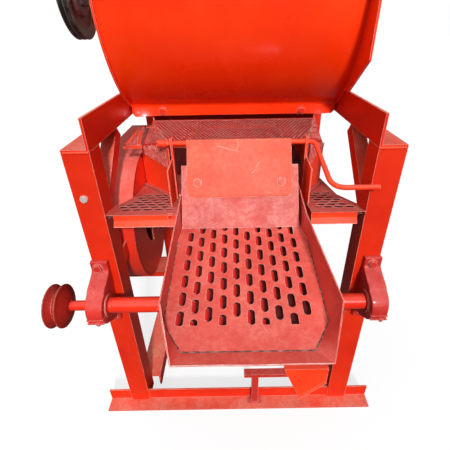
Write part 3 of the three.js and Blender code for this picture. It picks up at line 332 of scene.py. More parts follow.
def sheet_along_x(outer, inner, left, right, steps=1):
    """A folded sheet's section carried along X in equal steps. The section is the outer line and the inner
    line, point for point, in (y, z). Left and right are the ends in x, one value or one for each point."""
    count = len(outer)
    loop = np.concatenate([outer, inner[::-1]])
    left, right = np.broadcast_to(left, count), np.broadcast_to(right, count)
    starts = np.concatenate([left, left[::-1]])
    stops = np.concatenate([right, right[::-1]])
    x = starts + (stops - starts) * np.linspace(0, 1, steps + 1)[:, None]
    i = np.arange(count - 1)
    cap = stacked(i, i + 1, 2 * count - 2 - i, 2 * count - 1 - i)
    far = cap[:, ::-1] + 2 * count * steps
    points, sides = surface(stacked(x, loop[:, 0], loop[:, 1]), False, True)
    return points, [*sides.tolist(), *cap.tolist(), *far.tolist()]


def cut_sheet(us, vs, metal, place):
    """A flat or rolled sheet with holes, on a grid of u and v. metal(u, v) is the distance into the metal,
    below zero outside it. Grid points within half a step of an edge move square onto it, each grid cell is
    split along the edge that crosses it, and the triangles outside the metal are left out. place(u, v) gives
    x, y, z."""
    u, v = np.meshgrid(us, vs, indexing="ij")
    steps = (us[1] - us[0], vs[1] - vs[0])
    nudge = 1e-6
    depth = metal(u, v)
    slope_u = (metal(u + nudge, v) - metal(u - nudge, v)) / (2 * nudge)
    slope_v = (metal(u, v + nudge) - metal(u, v - nudge)) / (2 * nudge)
    reach = 0.5005 * np.maximum(np.abs(slope_u) * steps[0], np.abs(slope_v) * steps[1])
    square = np.maximum(slope_u ** 2 + slope_v ** 2, nudge)
    edge = np.abs(depth) <= reach
    u = np.where(edge, u - depth * slope_u / square, u)
    v = np.where(edge, v - depth * slope_v / square, v)
    quads = grid_faces(*u.shape)
    on_edge = edge.ravel()[quads]
    across = (on_edge[:, 1] & on_edge[:, 3])[:, None]
    first = np.where(across, quads[:, [0, 1, 3]], quads[:, [0, 1, 2]])
    second = np.where(across, quads[:, [1, 2, 3]], quads[:, [0, 2, 3]])
    triangles = np.concatenate([first, second])
    flat_u, flat_v = u.ravel(), v.ravel()
    inside = metal(flat_u[triangles].mean(1), flat_v[triangles].mean(1)) > nudge
    return stacked(*place(flat_u, flat_v)), triangles[inside]


def slot_distance(u, v, slots, size):
    """Distance outside the nearest of several round-ended slots: to a slot's middle line, less half its
    width."""
    width = min(size)
    nearest = np.full(np.shape(u), 1.0)
    for x, y in slots:
        over_u = np.maximum(np.abs(u - x) - (size[0] - width) / 2, 0)
        over_v = np.maximum(np.abs(v - y) - (size[1] - width) / 2, 0)
        nearest = np.minimum(nearest, np.hypot(over_u, over_v) - width / 2)
    return nearest


def bolt(centre, out, across, height, washer=0.0, turn=0.0):
    """A six-sided head on its washer. Ring j has its station's radius; on the hexagon that radius is the
    flat's distance over the cosine of the angle from the flat's middle, cut down to a round chamfer at the
    top."""
    out = np.array(out, float) / np.linalg.norm(out)
    side = np.cross(out, (0.31, 0.17, 0.93))
    side /= np.linalg.norm(side)
    above = np.cross(out, side)
    flat = across / 2
    angle = np.linspace(0, 2 * np.pi, 24, endpoint=False)[:, None] + turn
    hexagon = flat / np.cos((angle - turn) % (np.pi / 3) - np.pi / 6)
    rim = washer or flat * 1.05
    lift = 0.22 * height if washer else 0.0
    stations = [
        (0, -0.001, False), (rim, -0.001, False), (rim, lift, False), (flat * 1.16, lift, True),
        (flat * 1.16, height * 0.84, True), (flat * 0.96, height, False), (0, height * 1.04, False),
    ]
    radius = np.concatenate([
        np.minimum(hexagon, reach) if six else np.full_like(angle, reach) for reach, _, six in stations
    ], axis=1)
    along = np.array([station[1] for station in stations])
    points = (
        np.asarray(centre, float) + along[None, :, None] * out
        + (radius * np.cos(angle))[..., None] * side + (radius * np.sin(angle))[..., None] * above
    )
    return surface(points, True)


def weld_bead(start, end, radius, facing=(0.2, 0.3, 0.93)):
    """A ripple of overlapping drops along a line: a tube whose radius swells and falls with the distance."""
    start, end = np.asarray(start, float), np.asarray(end, float)
    length = np.linalg.norm(end - start)
    share = np.linspace(0, 1, max(int(length / 0.0016), 12))
    swell = 1 + 0.16 * np.sin(share * length / 0.0055 * 2 * np.pi) + 0.08 * np.sin(share * length / 0.0131)
    ends = np.clip(np.minimum(share, 1 - share) * length / radius, 0, 1) ** 0.5
    path = start + (end - start) * share[:, None]
    return tube(path, radius * swell * ends, facing, 10)


def blocks(*pairs):
    """Plain blocks, each between two corners, as closed sections carried along X."""
    return together([
        sheet_along_x([(y0, z0), (y1, z0)], [(y0, z1), (y1, z1)], x0, x1)
        for (x0, y0, z0), (x1, y1, z1) in pairs
    ])


# Shader groups


def new_group(name, outputs, **inputs):
    """A shader group of plain numbers: its inputs with their usual values, and the names of its outputs."""
    group = bpy.data.node_groups.new(name, "ShaderNodeTree")
    kind = "NodeSocketFloat"
    for label, value in inputs.items():
        socket = group.interface.new_socket(label.replace("_", " "), in_out="INPUT", socket_type=kind)
        socket.default_value = value
    for label in outputs:
        group.interface.new_socket(label, in_out="OUTPUT", socket_type=kind)
    wire = Wiring(group)
    return group, wire, wire.node("NodeGroupInput").outputs


class Wiring:
    """Short calls that add nodes to a tree and join them."""

    def __init__(self, tree):
        self.tree = tree

    def node(self, kind, settings=None, **inputs):
        made = self.tree.nodes.new(kind)
        for key, value in (settings or {}).items():
            setattr(made, key, value)
        for key, value in inputs.items():
            self.feed(made.inputs[key.replace("_", " ")], value)
        return made

    def feed(self, socket, value):
        if isinstance(value, bpy.types.NodeSocket):
            self.tree.links.new(value, socket)
        else:
            socket.default_value = value

    def in_order(self, kind, settings, *values):
        """A node whose first sockets are fed in their order."""
        made = self.node(kind, settings)
        for socket, value in zip(made.inputs, values):
            self.feed(socket, value)
        return made

    def math(self, operation, first, second=0.0, third=0.0, clamp=False):
        settings = {"operation": operation, "use_clamp": clamp}
        return self.in_order("ShaderNodeMath", settings, first, second, third).outputs[0]

    def ramp(self, value, low, high, out_low=0.0, out_high=1.0):
        """A value carried smoothly from one range to another, held at the ends."""
        settings = {"interpolation_type": "SMOOTHSTEP"}
        return self.in_order("ShaderNodeMapRange", settings, value, low, high, out_low, out_high).outputs[0]

    def noise(self, place, scale, detail=3.0, roughness=0.55, distortion=0.0):
        return self.node(
            "ShaderNodeTexNoise", Vector=place, Scale=scale, Detail=detail, Roughness=roughness,
            Distortion=distortion,
        ).outputs["Fac"]

    def mix(self, share, first, second):
        made = self.node("ShaderNodeMix", {"data_type": "RGBA"})
        for place, value in ((0, share), (6, first), (7, second)):
            self.feed(made.inputs[place], value)
        return made.outputs[2]


def emptied(owner):
    """The wiring of a material's or a world's shader tree, with its nodes taken out."""
    owner.use_nodes = True
    owner.node_tree.nodes.clear()
    return Wiring(owner.node_tree)


def object_place(wiring, stretch=(1, 1, 1)):
    """Object coordinates, in metres, stretched for a pattern that runs one way."""
    place = wiring.node("ShaderNodeTexCoord").outputs["Object"]
    return wiring.node("ShaderNodeMapping", Vector=place, Scale=stretch).outputs[0]


def worn_edge_group():
    """Where an edge lies within the radius, the rounded normal turns away from the true one. That turn,
    broken up by noise, is the mask of bare and chipped paint."""
    group, wire, given = new_group("worn_edges", ["Mask"], Radius=0.002, Amount=0.5, Chip_size=90.0)
    rounded = wire.node("ShaderNodeBevel", {"samples": 6}, Radius=given["Radius"]).outputs[0]
    true = wire.node("ShaderNodeNewGeometry").outputs["True Normal"]
    dot = wire.in_order("ShaderNodeVectorMath", {"operation": "DOT_PRODUCT"}, rounded, true)
    turn = wire.math("SUBTRACT", 1.0, dot.outputs["Value"])
    edge = wire.ramp(turn, 0.01, 0.22)
    chips = wire.noise(object_place(wire), given["Chip size"], 5.0, 0.7)
    chipped = wire.math("ADD", edge, wire.math("MULTIPLY", chips, edge))
    need = wire.math("SUBTRACT", 1.02, wire.math("MULTIPLY", given["Amount"], 0.75))
    start = wire.math("SUBTRACT", need, 0.22)
    mask = wire.ramp(wire.math("MULTIPLY", chipped, 0.62), start, need)
    wire.node("NodeGroupOutput", Mask=mask)
    return group


def dust_group():
    """Dust lies where a face looks up, thicker in the hollows of a broad noise and speckled by a fine one."""
    group, wire, given = new_group(
        "settled_dust", ["Mask", "Grit"], Amount=0.5, Patch_size=9.0, On_sides=0.1,
    )
    facing = wire.node("ShaderNodeSeparateXYZ", Vector=wire.node("ShaderNodeNewGeometry").outputs["Normal"])
    up = wire.ramp(facing.outputs["Z"], 0.15, 0.95)
    lying = wire.math("MAXIMUM", up, given["On sides"])
    place = object_place(wire)
    broad = wire.ramp(wire.noise(place, given["Patch size"], 5.0, 0.62), 0.3, 0.68, 0.35, 1.0)
    mottled = wire.ramp(wire.noise(place, 95.0, 4.0, 0.7), 0.36, 0.62, 0.62, 1.12)
    patches = wire.math("MULTIPLY", broad, mottled)
    grit = wire.noise(place, 620.0, 2.0, 0.7)
    speckle = wire.ramp(grit, 0.34, 0.66, 0.55, 1.15)
    amount = wire.math("MULTIPLY", wire.math("MULTIPLY", lying, patches), speckle)
    mask = wire.math("MULTIPLY", amount, given["Amount"], clamp=True)
    wire.node("NodeGroupOutput", Mask=mask, Grit=grit)
    return group


def scratch_group():
    """Thin scratches: the borders of large warped cells, kept only where a second noise allows."""
    group, wire, given = new_group("scratches", ["Mask"], Amount=0.4, Spacing=7.0, Width=0.006)
    place = object_place(wire)
    warp = wire.node("ShaderNodeTexNoise", Vector=place, Scale=6.0, Detail=2.0).outputs["Color"]
    push = (0.16, 0.16, 0.16)
    pushed = wire.in_order("ShaderNodeVectorMath", {"operation": "MULTIPLY_ADD"}, warp, push, place)
    cells = wire.node(
        "ShaderNodeTexVoronoi", {"feature": "DISTANCE_TO_EDGE"}, Vector=pushed.outputs[0],
        Scale=given["Spacing"],
    ).outputs["Distance"]
    line = wire.ramp(cells, 0.0, given["Width"], 1.0, 0.0)
    kept = wire.ramp(wire.noise(place, 11.0, 3.0), 0.52, 0.62)
    mask = wire.math("MULTIPLY", wire.math("MULTIPLY", line, kept), given["Amount"], clamp=True)
    wire.node("NodeGroupOutput", Mask=mask)
    return group


def brush_group():
    """The paint's own surface: broad changes of tone, runs of the brush and a fine orange peel, as a
    height."""
    group, wire, given = new_group("brushed_paint", ["Tone", "Height"], Ripple=0.5, Peel=0.3)
    place = object_place(wire)
    tone = wire.ramp(wire.noise(place, 6.0, 5.0, 0.6), 0.28, 0.72)
    ripple = wire.math("MULTIPLY", wire.noise(place, 22.0, 2.0, 0.5, 0.4), given["Ripple"])
    peel = wire.math("MULTIPLY", wire.noise(place, 330.0, 2.0, 0.5), given["Peel"])
    wire.node("NodeGroupOutput", Tone=tone, Height=wire.math("ADD", ripple, peel))
    return group


GROUPS = {
    "worn": worn_edge_group(),
    "dust": dust_group(),
    "scratches": scratch_group(),
    "brushed": brush_group(),
}


def placed(wire, name, **values):
    """One of the shared groups in a material, with its own values."""
    made = wire.tree.nodes.new("ShaderNodeGroup")
    made.node_tree = GROUPS[name]
    for key, value in values.items():
        wire.feed(made.inputs[key.replace("_", " ")], value)
    return made.outputs


def screen_colour(red, green, blue):
    """A colour as it shows on the screen, 0 to 255, as linear light with full alpha."""
    share = np.array([red, green, blue]) / 255
    linear = np.where(share <= 0.04045, share / 12.92, ((share + 0.055) / 1.055) ** 2.4)
    return (*linear.tolist(), 1.0)


def enamel(name, slot, colour, deep, dust_colour, dust=0.2, on_sides=0.1, dust_patch=9.0, edge_wear=0.4,
           edge_radius=0.0022, bare=(236, 214, 200), scratch=0.2, rough=0.38, rough_dust=0.75, coat=0.1,
           ripple=0.4, peel=0.25, relief=0.25):
    """Sprayed enamel over steel: two tones of paint, dust on what looks up, pale edges and scratches."""
    material = bpy.data.materials.new(name)
    material["slot"] = slot
    wire = emptied(material)
    brushed = placed(wire, "brushed", Ripple=ripple, Peel=peel)
    dusty = placed(wire, "dust", Amount=dust, Patch_size=dust_patch, On_sides=on_sides)
    worn = placed(wire, "worn", Radius=edge_radius, Amount=edge_wear)
    scratched = placed(wire, "scratches", Amount=scratch)
    painted = wire.mix(brushed["Tone"], screen_colour(*deep), screen_colour(*colour))
    dusted = wire.mix(dusty["Mask"], painted, screen_colour(*dust_colour))
    rubbed = wire.math("MAXIMUM", worn["Mask"], scratched["Mask"])
    shown = wire.mix(rubbed, dusted, screen_colour(*bare))
    gloss = wire.math("MULTIPLY_ADD", brushed["Tone"], 0.08, rough)
    dulled = wire.math("MULTIPLY_ADD", dusty["Mask"], rough_dust - rough, gloss, clamp=True)
    layer = wire.math("MULTIPLY", dusty["Mask"], 0.5)
    height = wire.math("MULTIPLY_ADD", dusty["Grit"], layer, brushed["Height"])
    bump = wire.node("ShaderNodeBump", Strength=relief, Distance=0.0015, Height=height).outputs[0]
    shader = wire.node(
        "ShaderNodeBsdfPrincipled", Base_Color=shown, Roughness=dulled, Normal=bump, Specular_IOR_Level=0.35,
        Coat_Weight=coat, Coat_Roughness=0.12,
    )
    wire.node("ShaderNodeOutputMaterial", Surface=shader.outputs[0])
    return material


def bare_metal(name, slot, colour, rust_colour, rust=0.4, rough=0.32, metallic=1.0):
    """Machined steel with a haze of rust and oil: noise gives the rust its patches and the steel its tone."""
    material = bpy.data.materials.new(name)
    material["slot"] = slot
    wire = emptied(material)
    patches = wire.ramp(wire.noise(object_place(wire), 38.0, 6.0, 0.68), 0.5, 0.72)
    mask = wire.math("MULTIPLY", patches, rust)
    turning = wire.noise(object_place(wire, (9.0, 1.0, 1.0)), 140.0, 2.0, 0.5)
    tone = wire.mix(turning, screen_colour(*[part * 0.86 for part in colour]), screen_colour(*colour))
    shown = wire.mix(mask, tone, screen_colour(*rust_colour))
    gloss = wire.math("MULTIPLY_ADD", mask, 0.5, rough, clamp=True)
    metal = wire.math("MULTIPLY", wire.math("SUBTRACT", 1.0, mask, clamp=True), metallic)
    bump = wire.node("ShaderNodeBump", Strength=0.12, Distance=0.0006, Height=turning).outputs[0]
    shader = wire.node(
        "ShaderNodeBsdfPrincipled", Base_Color=shown, Roughness=gloss, Metallic=metal, Normal=bump,
    )
    wire.node("ShaderNodeOutputMaterial", Surface=shader.outputs[0])
    return material


RED, DEEP_RED = (226, 46, 10), (206, 34, 8)
DUST, PALE_DUST = (192, 98, 84), (220, 138, 116)

FRAME_RED = enamel(
    "frame_enamel", "gloss_enamel", RED, DEEP_RED, PALE_DUST, dust=0.85, on_sides=0.0, edge_wear=0.08,
    scratch=0.08,
)
CASING_RED = enamel(
    "casing_enamel", "gloss_enamel", (255, 62, 6), (250, 48, 4), PALE_DUST, dust=0.3, on_sides=0.0,
    edge_wear=0.08, scratch=0.0, rough=0.26, coat=0.35, ripple=0.7,
)
HOOD_RED = enamel(
    "hood_enamel", "gloss_enamel", (255, 70, 24), (244, 52, 16), DUST, dust=0.6, on_sides=0.06,
    edge_wear=0.14, rough=0.5, coat=0.0, scratch=0.1,
)
MESH_RED = enamel(
    "mesh_enamel", "dusty_enamel", (220, 34, 26), (176, 20, 16), (200, 52, 44), dust=0.1, on_sides=0.0,
    edge_wear=0.0, scratch=0.0, rough=0.66, coat=0.0,
)
# A near-black copy of the red enamel: painted shade, for parts that sit in shade inside the machine
SHADED_PAN_RED = enamel(
    "painted_shade_enamel", "dusty_enamel", (110, 12, 12), (82, 8, 8), (110, 32, 28), dust=0.5, on_sides=0.2,
    edge_wear=0.1, scratch=0.1, rough=0.6, coat=0.0,
)
# Darker still: painted shade for the sheets under the slots of the tray and the wings, so that the slots show
# dark
SHADED_PIT_RED = enamel(
    "painted_deep_shade_enamel", "dusty_enamel", (96, 12, 12), (70, 8, 8), (96, 26, 22), dust=0.4, on_sides=0.1,
    edge_wear=0.0, scratch=0.0, rough=0.7, coat=0.0,
)
# Near-black paint for the tray's folds: painted shade in the creases
CREASE_SHADE = enamel(
    "painted_crease_shade", "dusty_enamel", (70, 12, 10), (44, 8, 8), (80, 26, 22), dust=0.2, edge_wear=0.0,
    scratch=0.0, rough=0.8, coat=0.0,
)
WHEEL_RED = enamel(
    "wheel_enamel", "cast_enamel", (176, 30, 20), (140, 22, 16), (150, 84, 70), dust=0.6, on_sides=0.18,
    dust_patch=30.0, edge_wear=0.85, edge_radius=0.003, rough=0.4, bare=(236, 214, 196), relief=0.5,
)
WING_RED = enamel(
    "wing_enamel", "dusty_enamel", (200, 58, 44), (172, 38, 32), (192, 108, 98), dust=0.95, on_sides=0.15,
    dust_patch=14.0, edge_wear=0.12, rough=0.45, bare=(222, 176, 168), relief=0.4,
)
TRAY_RED = enamel(
    "tray_enamel", "dusty_enamel", (216, 62, 48), (184, 42, 36), (220, 116, 102), dust=0.85, on_sides=0.3,
    dust_patch=16.0, edge_wear=0.12, edge_radius=0.0018, rough=0.42, coat=0.3, scratch=0.35,
    bare=(240, 190, 178), relief=0.3,
)
CHIPPED_RIM = enamel(
    "rim_enamel", "dusty_enamel", (222, 96, 82), (196, 56, 48), (236, 200, 190), dust=1.0, on_sides=0.7,
    dust_patch=40.0, edge_wear=0.0, rough=0.5, coat=0.0,
)
LEAF_RED = enamel(
    "gate_enamel", "dusty_enamel", (218, 74, 44), (198, 58, 36), (218, 136, 112), dust=0.9, on_sides=0.55,
    dust_patch=11.0, edge_wear=0.2, rough=0.52, coat=0.0, scratch=0.9, bare=(250, 226, 216), relief=0.7,
)
FLAP_RED = enamel(
    "flap_enamel", "dusty_enamel", (204, 58, 46), (180, 44, 38), (236, 176, 166), dust=1.0, on_sides=0.5,
    dust_patch=22.0, edge_wear=0.2, rough=0.55, coat=0.0, scratch=0.2, bare=(244, 214, 206), relief=1.0,
    peel=1.6,
)
CAST_RED = enamel(
    "cast_enamel", "cast_enamel", (208, 38, 24), (176, 26, 20), (196, 104, 98), dust=0.7, on_sides=0.22,
    dust_patch=24.0, edge_wear=0.4, edge_radius=0.0018, rough=0.42, ripple=1.4, peel=1.0, relief=0.6,
)
DARK_RED = enamel(
    "inner_enamel", "cast_enamel", (196, 34, 20), (150, 22, 18), (150, 96, 84), dust=0.6, on_sides=0.25,
    edge_wear=0.6, bare=(150, 140, 132), rough=0.5, coat=0.2,
)
SHAFT_RED = enamel(
    "shaft_enamel", "gloss_enamel", (236, 46, 16), (216, 34, 12), DUST, dust=0.3, edge_wear=0.3, rough=0.2,
    coat=0.5, ripple=0.1, peel=0.1, scratch=0.15,
)
FAN_RED = enamel(
    "fan_enamel", "gloss_enamel", (234, 56, 26), (212, 38, 18), (206, 130, 120), dust=0.9, on_sides=0.06,
    edge_wear=0.1, rough=0.36, scratch=0.0,
)
BOLT_STEEL = bare_metal("bolt_steel", "bare_steel", (226, 220, 212), (150, 84, 60), rust=0.3, metallic=0.35)
TURNED_STEEL = bare_metal("turned_steel", "bare_steel", (190, 188, 184), (120, 70, 48), rust=0.35)
PULLEY_IRON = bare_metal("pulley_iron", "bare_steel", (150, 146, 142), (118, 62, 44), rust=0.7, rough=0.42)


# Drum casing


def wrapper_section(name, mirrored):
    """Section of a wrapper and half its width at each point: a flange, the arc of the casing, a small fold
    and the strip that hangs from it. The rear one is mirrored about the drum's axis."""
    y, z = CASING_AXIS
    low, high = corners_of(name)
    foot, split = low[2], high[2]
    strip_front = THROAT_FRONT - STRIP_WALL / 2
    bottom = np.arccos((strip_front - y) / CASING_RADIUS)
    angle = np.linspace(np.pi, 2 * np.pi - bottom - FOLD_RADIUS / CASING_RADIUS, 60)
    arc = stacked(np.cos(angle), np.sin(angle))
    flange = np.array([(y - CASING_RADIUS - SPLIT_FLANGE, split), (y - CASING_RADIUS, split)])
    strip_top = z - math.sqrt(CASING_RADIUS ** 2 - (strip_front - y) ** 2) - FOLD_RADIUS
    strip = stacked(strip_front, np.linspace(strip_top, foot + 0.0001, 14))
    outer_arc = CASING_AXIS + CASING_RADIUS * arc
    inner_arc = CASING_AXIS + (CASING_RADIUS - CASING_WALL) * arc
    outer_arc[:, 1] = np.minimum(outer_arc[:, 1], split - STRIP_WALL)
    inner_arc[:, 1] = np.minimum(inner_arc[:, 1], split)
    outer = np.concatenate([flange - (0, STRIP_WALL), outer_arc, strip])
    inner = np.concatenate([flange, inner_arc, strip + (STRIP_WALL, 0)])
    if mirrored:
        outer[:, 0] = 2 * y - outer[:, 0]
        inner[:, 0] = 2 * y - inner[:, 0]
    half = high[0] - np.clip(STRIP_CORNER - (outer[:, 1] - foot), 0, STRIP_CORNER)
    return outer, inner, half


def wrappers():
    """The strip of the front one has been knocked: its lower edge kicks out on a bell curve near both ends,
    by a power of the way down, and waves a little between them."""
    for name, rear in (("front_wrapper", False), ("rear_wrapper", True)):
        outer, inner, half = wrapper_section(name, rear)
        points, faces = sheet_along_x(outer, inner, -half, half, 48)
        if not rear:
            x, y, z = np.moveaxis(points, -1, 0)
            down = np.clip((z.min() + STRIP_DROP - z) / STRIP_DROP, 0, 1) * (y > THROAT_FRONT - 0.006)
            knocks = sum(depth * np.exp(-((x - at) / reach) ** 2) for at, reach, depth in STRIP_KNOCKS)
            kick = knocks + STRIP_WAVE[0] * np.sin(x * STRIP_WAVE[1])
            points[..., 1] = y - kick * down ** 1.5
        add_piece(f"{name}_skin", (points, faces), CASING_RED, "frame", (name,), rounding=SHEET_ROUNDING)


def upper_cover():
    """The cover is half a cylinder with the chute's hole: u is the distance round it and v runs along X."""
    low, high = corners_of("upper_cover")
    y, z = CASING_AXIS
    edge = low[2]
    start = math.asin(max(edge - z, 0) / CASING_RADIUS)
    first, last = (math.radians(angle) * CASING_RADIUS for angle in CHUTE_ANGLES)
    middle, half = (first + last) / 2, (last - first) / 2

    def metal(u, v):
        over_u, over_v = np.abs(u - middle) - half, np.abs(v) - CHUTE_HALF_WIDTH
        outside = np.hypot(np.maximum(over_u, 0), np.maximum(over_v, 0))
        return np.where(outside > 0, outside, np.maximum(over_u, over_v))

    def place(u, v):
        angle = u / CASING_RADIUS
        return v, y + CASING_RADIUS * np.cos(angle), z + CASING_RADIUS * np.sin(angle)

    us = np.linspace(start * CASING_RADIUS, (np.pi - start) * CASING_RADIUS, 90)
    vs = np.linspace(low[0], high[0], 50)
    shell = flipped(cut_sheet(us, vs, metal, place))
    add_piece("upper_cover_skin", shell, CASING_RED, "frame", ("upper_cover",), wall=CASING_WALL)
    inside = CASING_RADIUS - CASING_WALL
    flanges = blocks(*(
        ((low[0], front, edge), (high[0], back, edge + STRIP_WALL))
        for front, back in ((low[1], y - inside), (y + inside, high[1]))
    ))
    add_piece("upper_cover_flanges", flanges, CASING_RED, "frame", rounding=SHEET_ROUNDING)


# Shafts, pulleys and bearings


def pulley_profile(radius, bore, x0, x1, grooves=1):
    """A V-pulley's section, in (radius, x): rims with rounded tips, grooves cut to three quarters of the
    radius, a thin web and a hub that stands out on the machine's side."""
    width = x1 - x0
    rim = radius * 0.985
    floor_radius = radius * 0.77
    land = width * 0.09
    pitch = (width - land) / grooves
    line = [
        (bore, x0), (radius * 0.3, x0), (radius * 0.34, x0 + width * 0.3),
        (radius * 0.74, x0 + width * 0.34), (radius * 0.86, x0 + width * 0.06), (rim, x0),
        (radius, x0 + land * 0.5),
    ]
    for groove in range(grooves):
        start = x0 + land + groove * pitch
        end = start + pitch
        line += [
            (radius, start), (rim, start + land * 0.3), (floor_radius, start + pitch * 0.36),
            (floor_radius, start + pitch * 0.56), (rim, end - land * 1.3), (radius, end - land),
        ]
    line += [
        (radius, x1 - land * 0.5), (rim, x1), (radius * 0.86, x1 - width * 0.06),
        (radius * 0.74, x1 - width * 0.34), (radius * 0.46, x1 - width * 0.36), (radius * 0.42, x1),
        (bore, x1),
    ]
    return line


def cone_pulley_profile(radius, bore, x0, x1):
    """The front pulley: two thin rims with a deep groove, and a cone that runs from the inner rim down to
    the hub on the machine's side."""
    width = x1 - x0
    shares = [
        (0.36, 0.0), (0.40, 0.2), (0.78, 0.24), (0.9, 0.05), (0.975, 0.0), (1.0, 0.035), (1.0, 0.085),
        (0.97, 0.13), (0.72, 0.40), (0.70, 0.46), (0.72, 0.52), (0.97, 0.83), (1.0, 0.88), (1.0, 0.95),
        (0.965, 1.0), (0.90, 1.02), (0.80, 1.10), (0.50, 1.42), (0.42, 1.46),
    ]
    line = [(radius * share, x0 + width * along) for share, along in shares]
    return [(bore, x0), *line, (bore, line[-1][1])]


def pulleys():
    """Three wheels, each its section turned round its own axis."""
    low, high = corners_of("front_pulley")
    profile = cone_pulley_profile((high[2] - low[2]) / 2, JOURNAL_BORE, low[0], high[0])
    wheel = turned(profile, SHAFT_AXIS, 96, closed=True)
    add_piece("front_pulley_wheel", wheel, WHEEL_RED, "shaker_shaft", ("front_pulley",), rounding=0.0005)
    for body, (axis, shaft, grooves) in SPINDLES.items():
        node = f"{body}_pulley"
        low, high = corners_of(node)
        profile = pulley_profile((high[2] - low[2]) / 2, shaft + PLAY, low[0], high[0], grooves)
        ring = turned(profile, axis, 96, closed=True)
        add_piece(f"{node}_wheel", ring, PULLEY_IRON, body, (node,), rounding=0.0005)


def plain_shafts():
    """Round bars with a chamfer at each end."""
    for body, (axis, _, _) in SPINDLES.items():
        node = f"{body}_shaft"
        low, high = corners_of(node)
        radius = (high[2] - low[2]) / 2
        chamfer = radius * 0.1
        profile = [
            (0, low[0]), (radius - chamfer, low[0]), (radius, low[0] + chamfer),
            (radius, high[0] - chamfer), (radius - chamfer, high[0]), (0, high[0]),
        ]
        add_piece(f"{node}_round", turned(profile, axis, 48), TURNED_STEEL, body, (node,))


def front_shaft():
    """A round bar, turned down to a journal through each block and out to its ends."""
    low, high = corners_of("front_shaft")
    left = corners_of("front_bearing_left")[1][0] + RING_HEIGHT
    right = corners_of("front_bearing_right")[0][0] - RING_HEIGHT
    chamfer = 0.0015
    profile = [
        (0, low[0]), (JOURNAL_RADIUS - chamfer, low[0]), (JOURNAL_RADIUS, low[0] + chamfer),
        (JOURNAL_RADIUS, left), (SHAFT_RADIUS - chamfer, left), (SHAFT_RADIUS, left + chamfer),
        (SHAFT_RADIUS, right - chamfer), (SHAFT_RADIUS - chamfer, right), (JOURNAL_RADIUS, right),
        (JOURNAL_RADIUS, high[0] - chamfer), (JOURNAL_RADIUS - chamfer, high[0]), (0, high[0]),
    ]
    shaft = turned(profile, SHAFT_AXIS, 64)
    add_piece("front_shaft_round", shaft, SHAFT_RED, "shaker_shaft", ("front_shaft",))


def flange_bearings():
    """Each bearing is a turned flange and boss with a raised ring round the shaft and four bolts."""
    wall = 0.012
    for node, spindle in (
        ("drum_bearing_left", "drum"), ("drum_bearing_right", "drum"), ("fan_bearing", "fan"),
    ):
        axis, shaft, _ = SPINDLES[spindle]
        bore = shaft + PLAY
        low, high = corners_of(node)
        out = 1 if low[0] > 0 else -1
        base, tip = (low[0], high[0]) if out > 0 else (high[0], low[0])
        radius = (high[2] - low[2]) / 2
        face = base + out * wall
        section = [
            (bore, base), (radius, base), (radius, base + out * wall * 0.8), (radius * 0.96, face),
            (radius * 0.76, face), (radius * 0.68, base + out * wall * 1.35),
            (radius * 0.64, tip - out * 0.004), (radius * 0.58, tip - out * 0.001),
            (bore * 1.5, tip - out * 0.001), (bore * 1.45, tip), (bore, tip),
        ]
        ring = radius * 0.82
        heads = [
            bolt((face, axis[0] + ring * math.cos(turn), axis[1] + ring * math.sin(turn)), (out, 0, 0),
                 0.014, 0.008, turn=turn)
            for turn in np.radians([45, 135, 225, 315])
        ]
        cast = turned(section, axis, 72, closed=True)
        add_piece(f"{node}_cast", cast, CAST_RED, "frame", (node,), rounding=0.0008)
        add_piece(f"{node}_bolts", together(heads), BOLT_STEEL, "frame")


def plummer_blocks():
    """Cast blocks of the front shaft: the foot, a waist drawn in on a smooth curve and the round housing,
    carried along X and crowned towards both faces, with a boss round the journal."""
    y, z = SHAFT_AXIS
    for side, node in ((-1, "front_bearing_left"), (1, "front_bearing_right")):
        low, high = corners_of(node)
        back, face = high[1], high[1] - 0.014
        housing = y - low[1]
        height = z + np.linspace(1, -1, 61) * (high[2] - low[2]) / 2
        off = np.abs(height - z)
        round_face = y - np.sqrt(np.maximum(housing ** 2 - off ** 2, 0))
        drawn_in = np.clip((0.078 - off) / 0.034, 0, 1)
        waist = face + (y - 0.012 - face) * drawn_in ** 2 * (3 - 2 * drawn_in)
        front = np.where(off < housing, np.minimum(round_face, waist), waist)
        middle, half = (low[0] + high[0]) / 2, (high[0] - low[0]) / 2
        crown = 0.0022 * np.clip(1 - off / housing, 0, 1)
        body = sheet_along_x(
            stacked(front, height), stacked(back, height), middle - half + crown, middle + half - crown,
        )
        add_piece(f"{node}_cast", body, CAST_RED, "frame", (node,), rounding=0.003, segments=3)
        left, right = middle - half + 0.001, middle + half - 0.001
        ribs = blocks(*(
            ((left, y - housing - 0.0016, z - drop - 0.004), (right, y - 0.020, z - drop))
            for drop in (0.006, 0.017)
        ))
        add_piece(f"{node}_ribs", ribs, CAST_RED, "frame", rounding=0.0012)
        heads = [
            bolt((middle - 0.002, face, z + 0.086), (0, -1, 0), *BLOCK_BOLT, 0.3),
            bolt((middle + 0.003, face, z - 0.086), (0, -1, 0), *BLOCK_BOLT, 0.9),
            bolt((middle + 0.006, y - housing + 0.004, z - 0.020), (0, -1, -0.4), 0.009, 0.007),
        ]
        add_piece(f"{node}_bolts", together(heads), CAST_RED, "frame")
        base, out = (left, -1) if side > 0 else (right, 1)
        boss = [
            (JOURNAL_BORE, base), (0.030, base), (0.028, base + out * RING_HEIGHT),
            (JOURNAL_BORE, base + out * RING_HEIGHT),
        ]
        ring = turned(boss, SHAFT_AXIS, 48, closed=True)
        add_piece(f"{node}_rings", ring, CAST_RED, "frame")


# Gate


def gate_point(reach, off):
    """A point down the closed gate from the rod and out of its face, as (y, z)."""
    return np.array(ROD_AXIS) + np.multiply.outer(reach, GATE_DOWN) + off * GATE_OUT


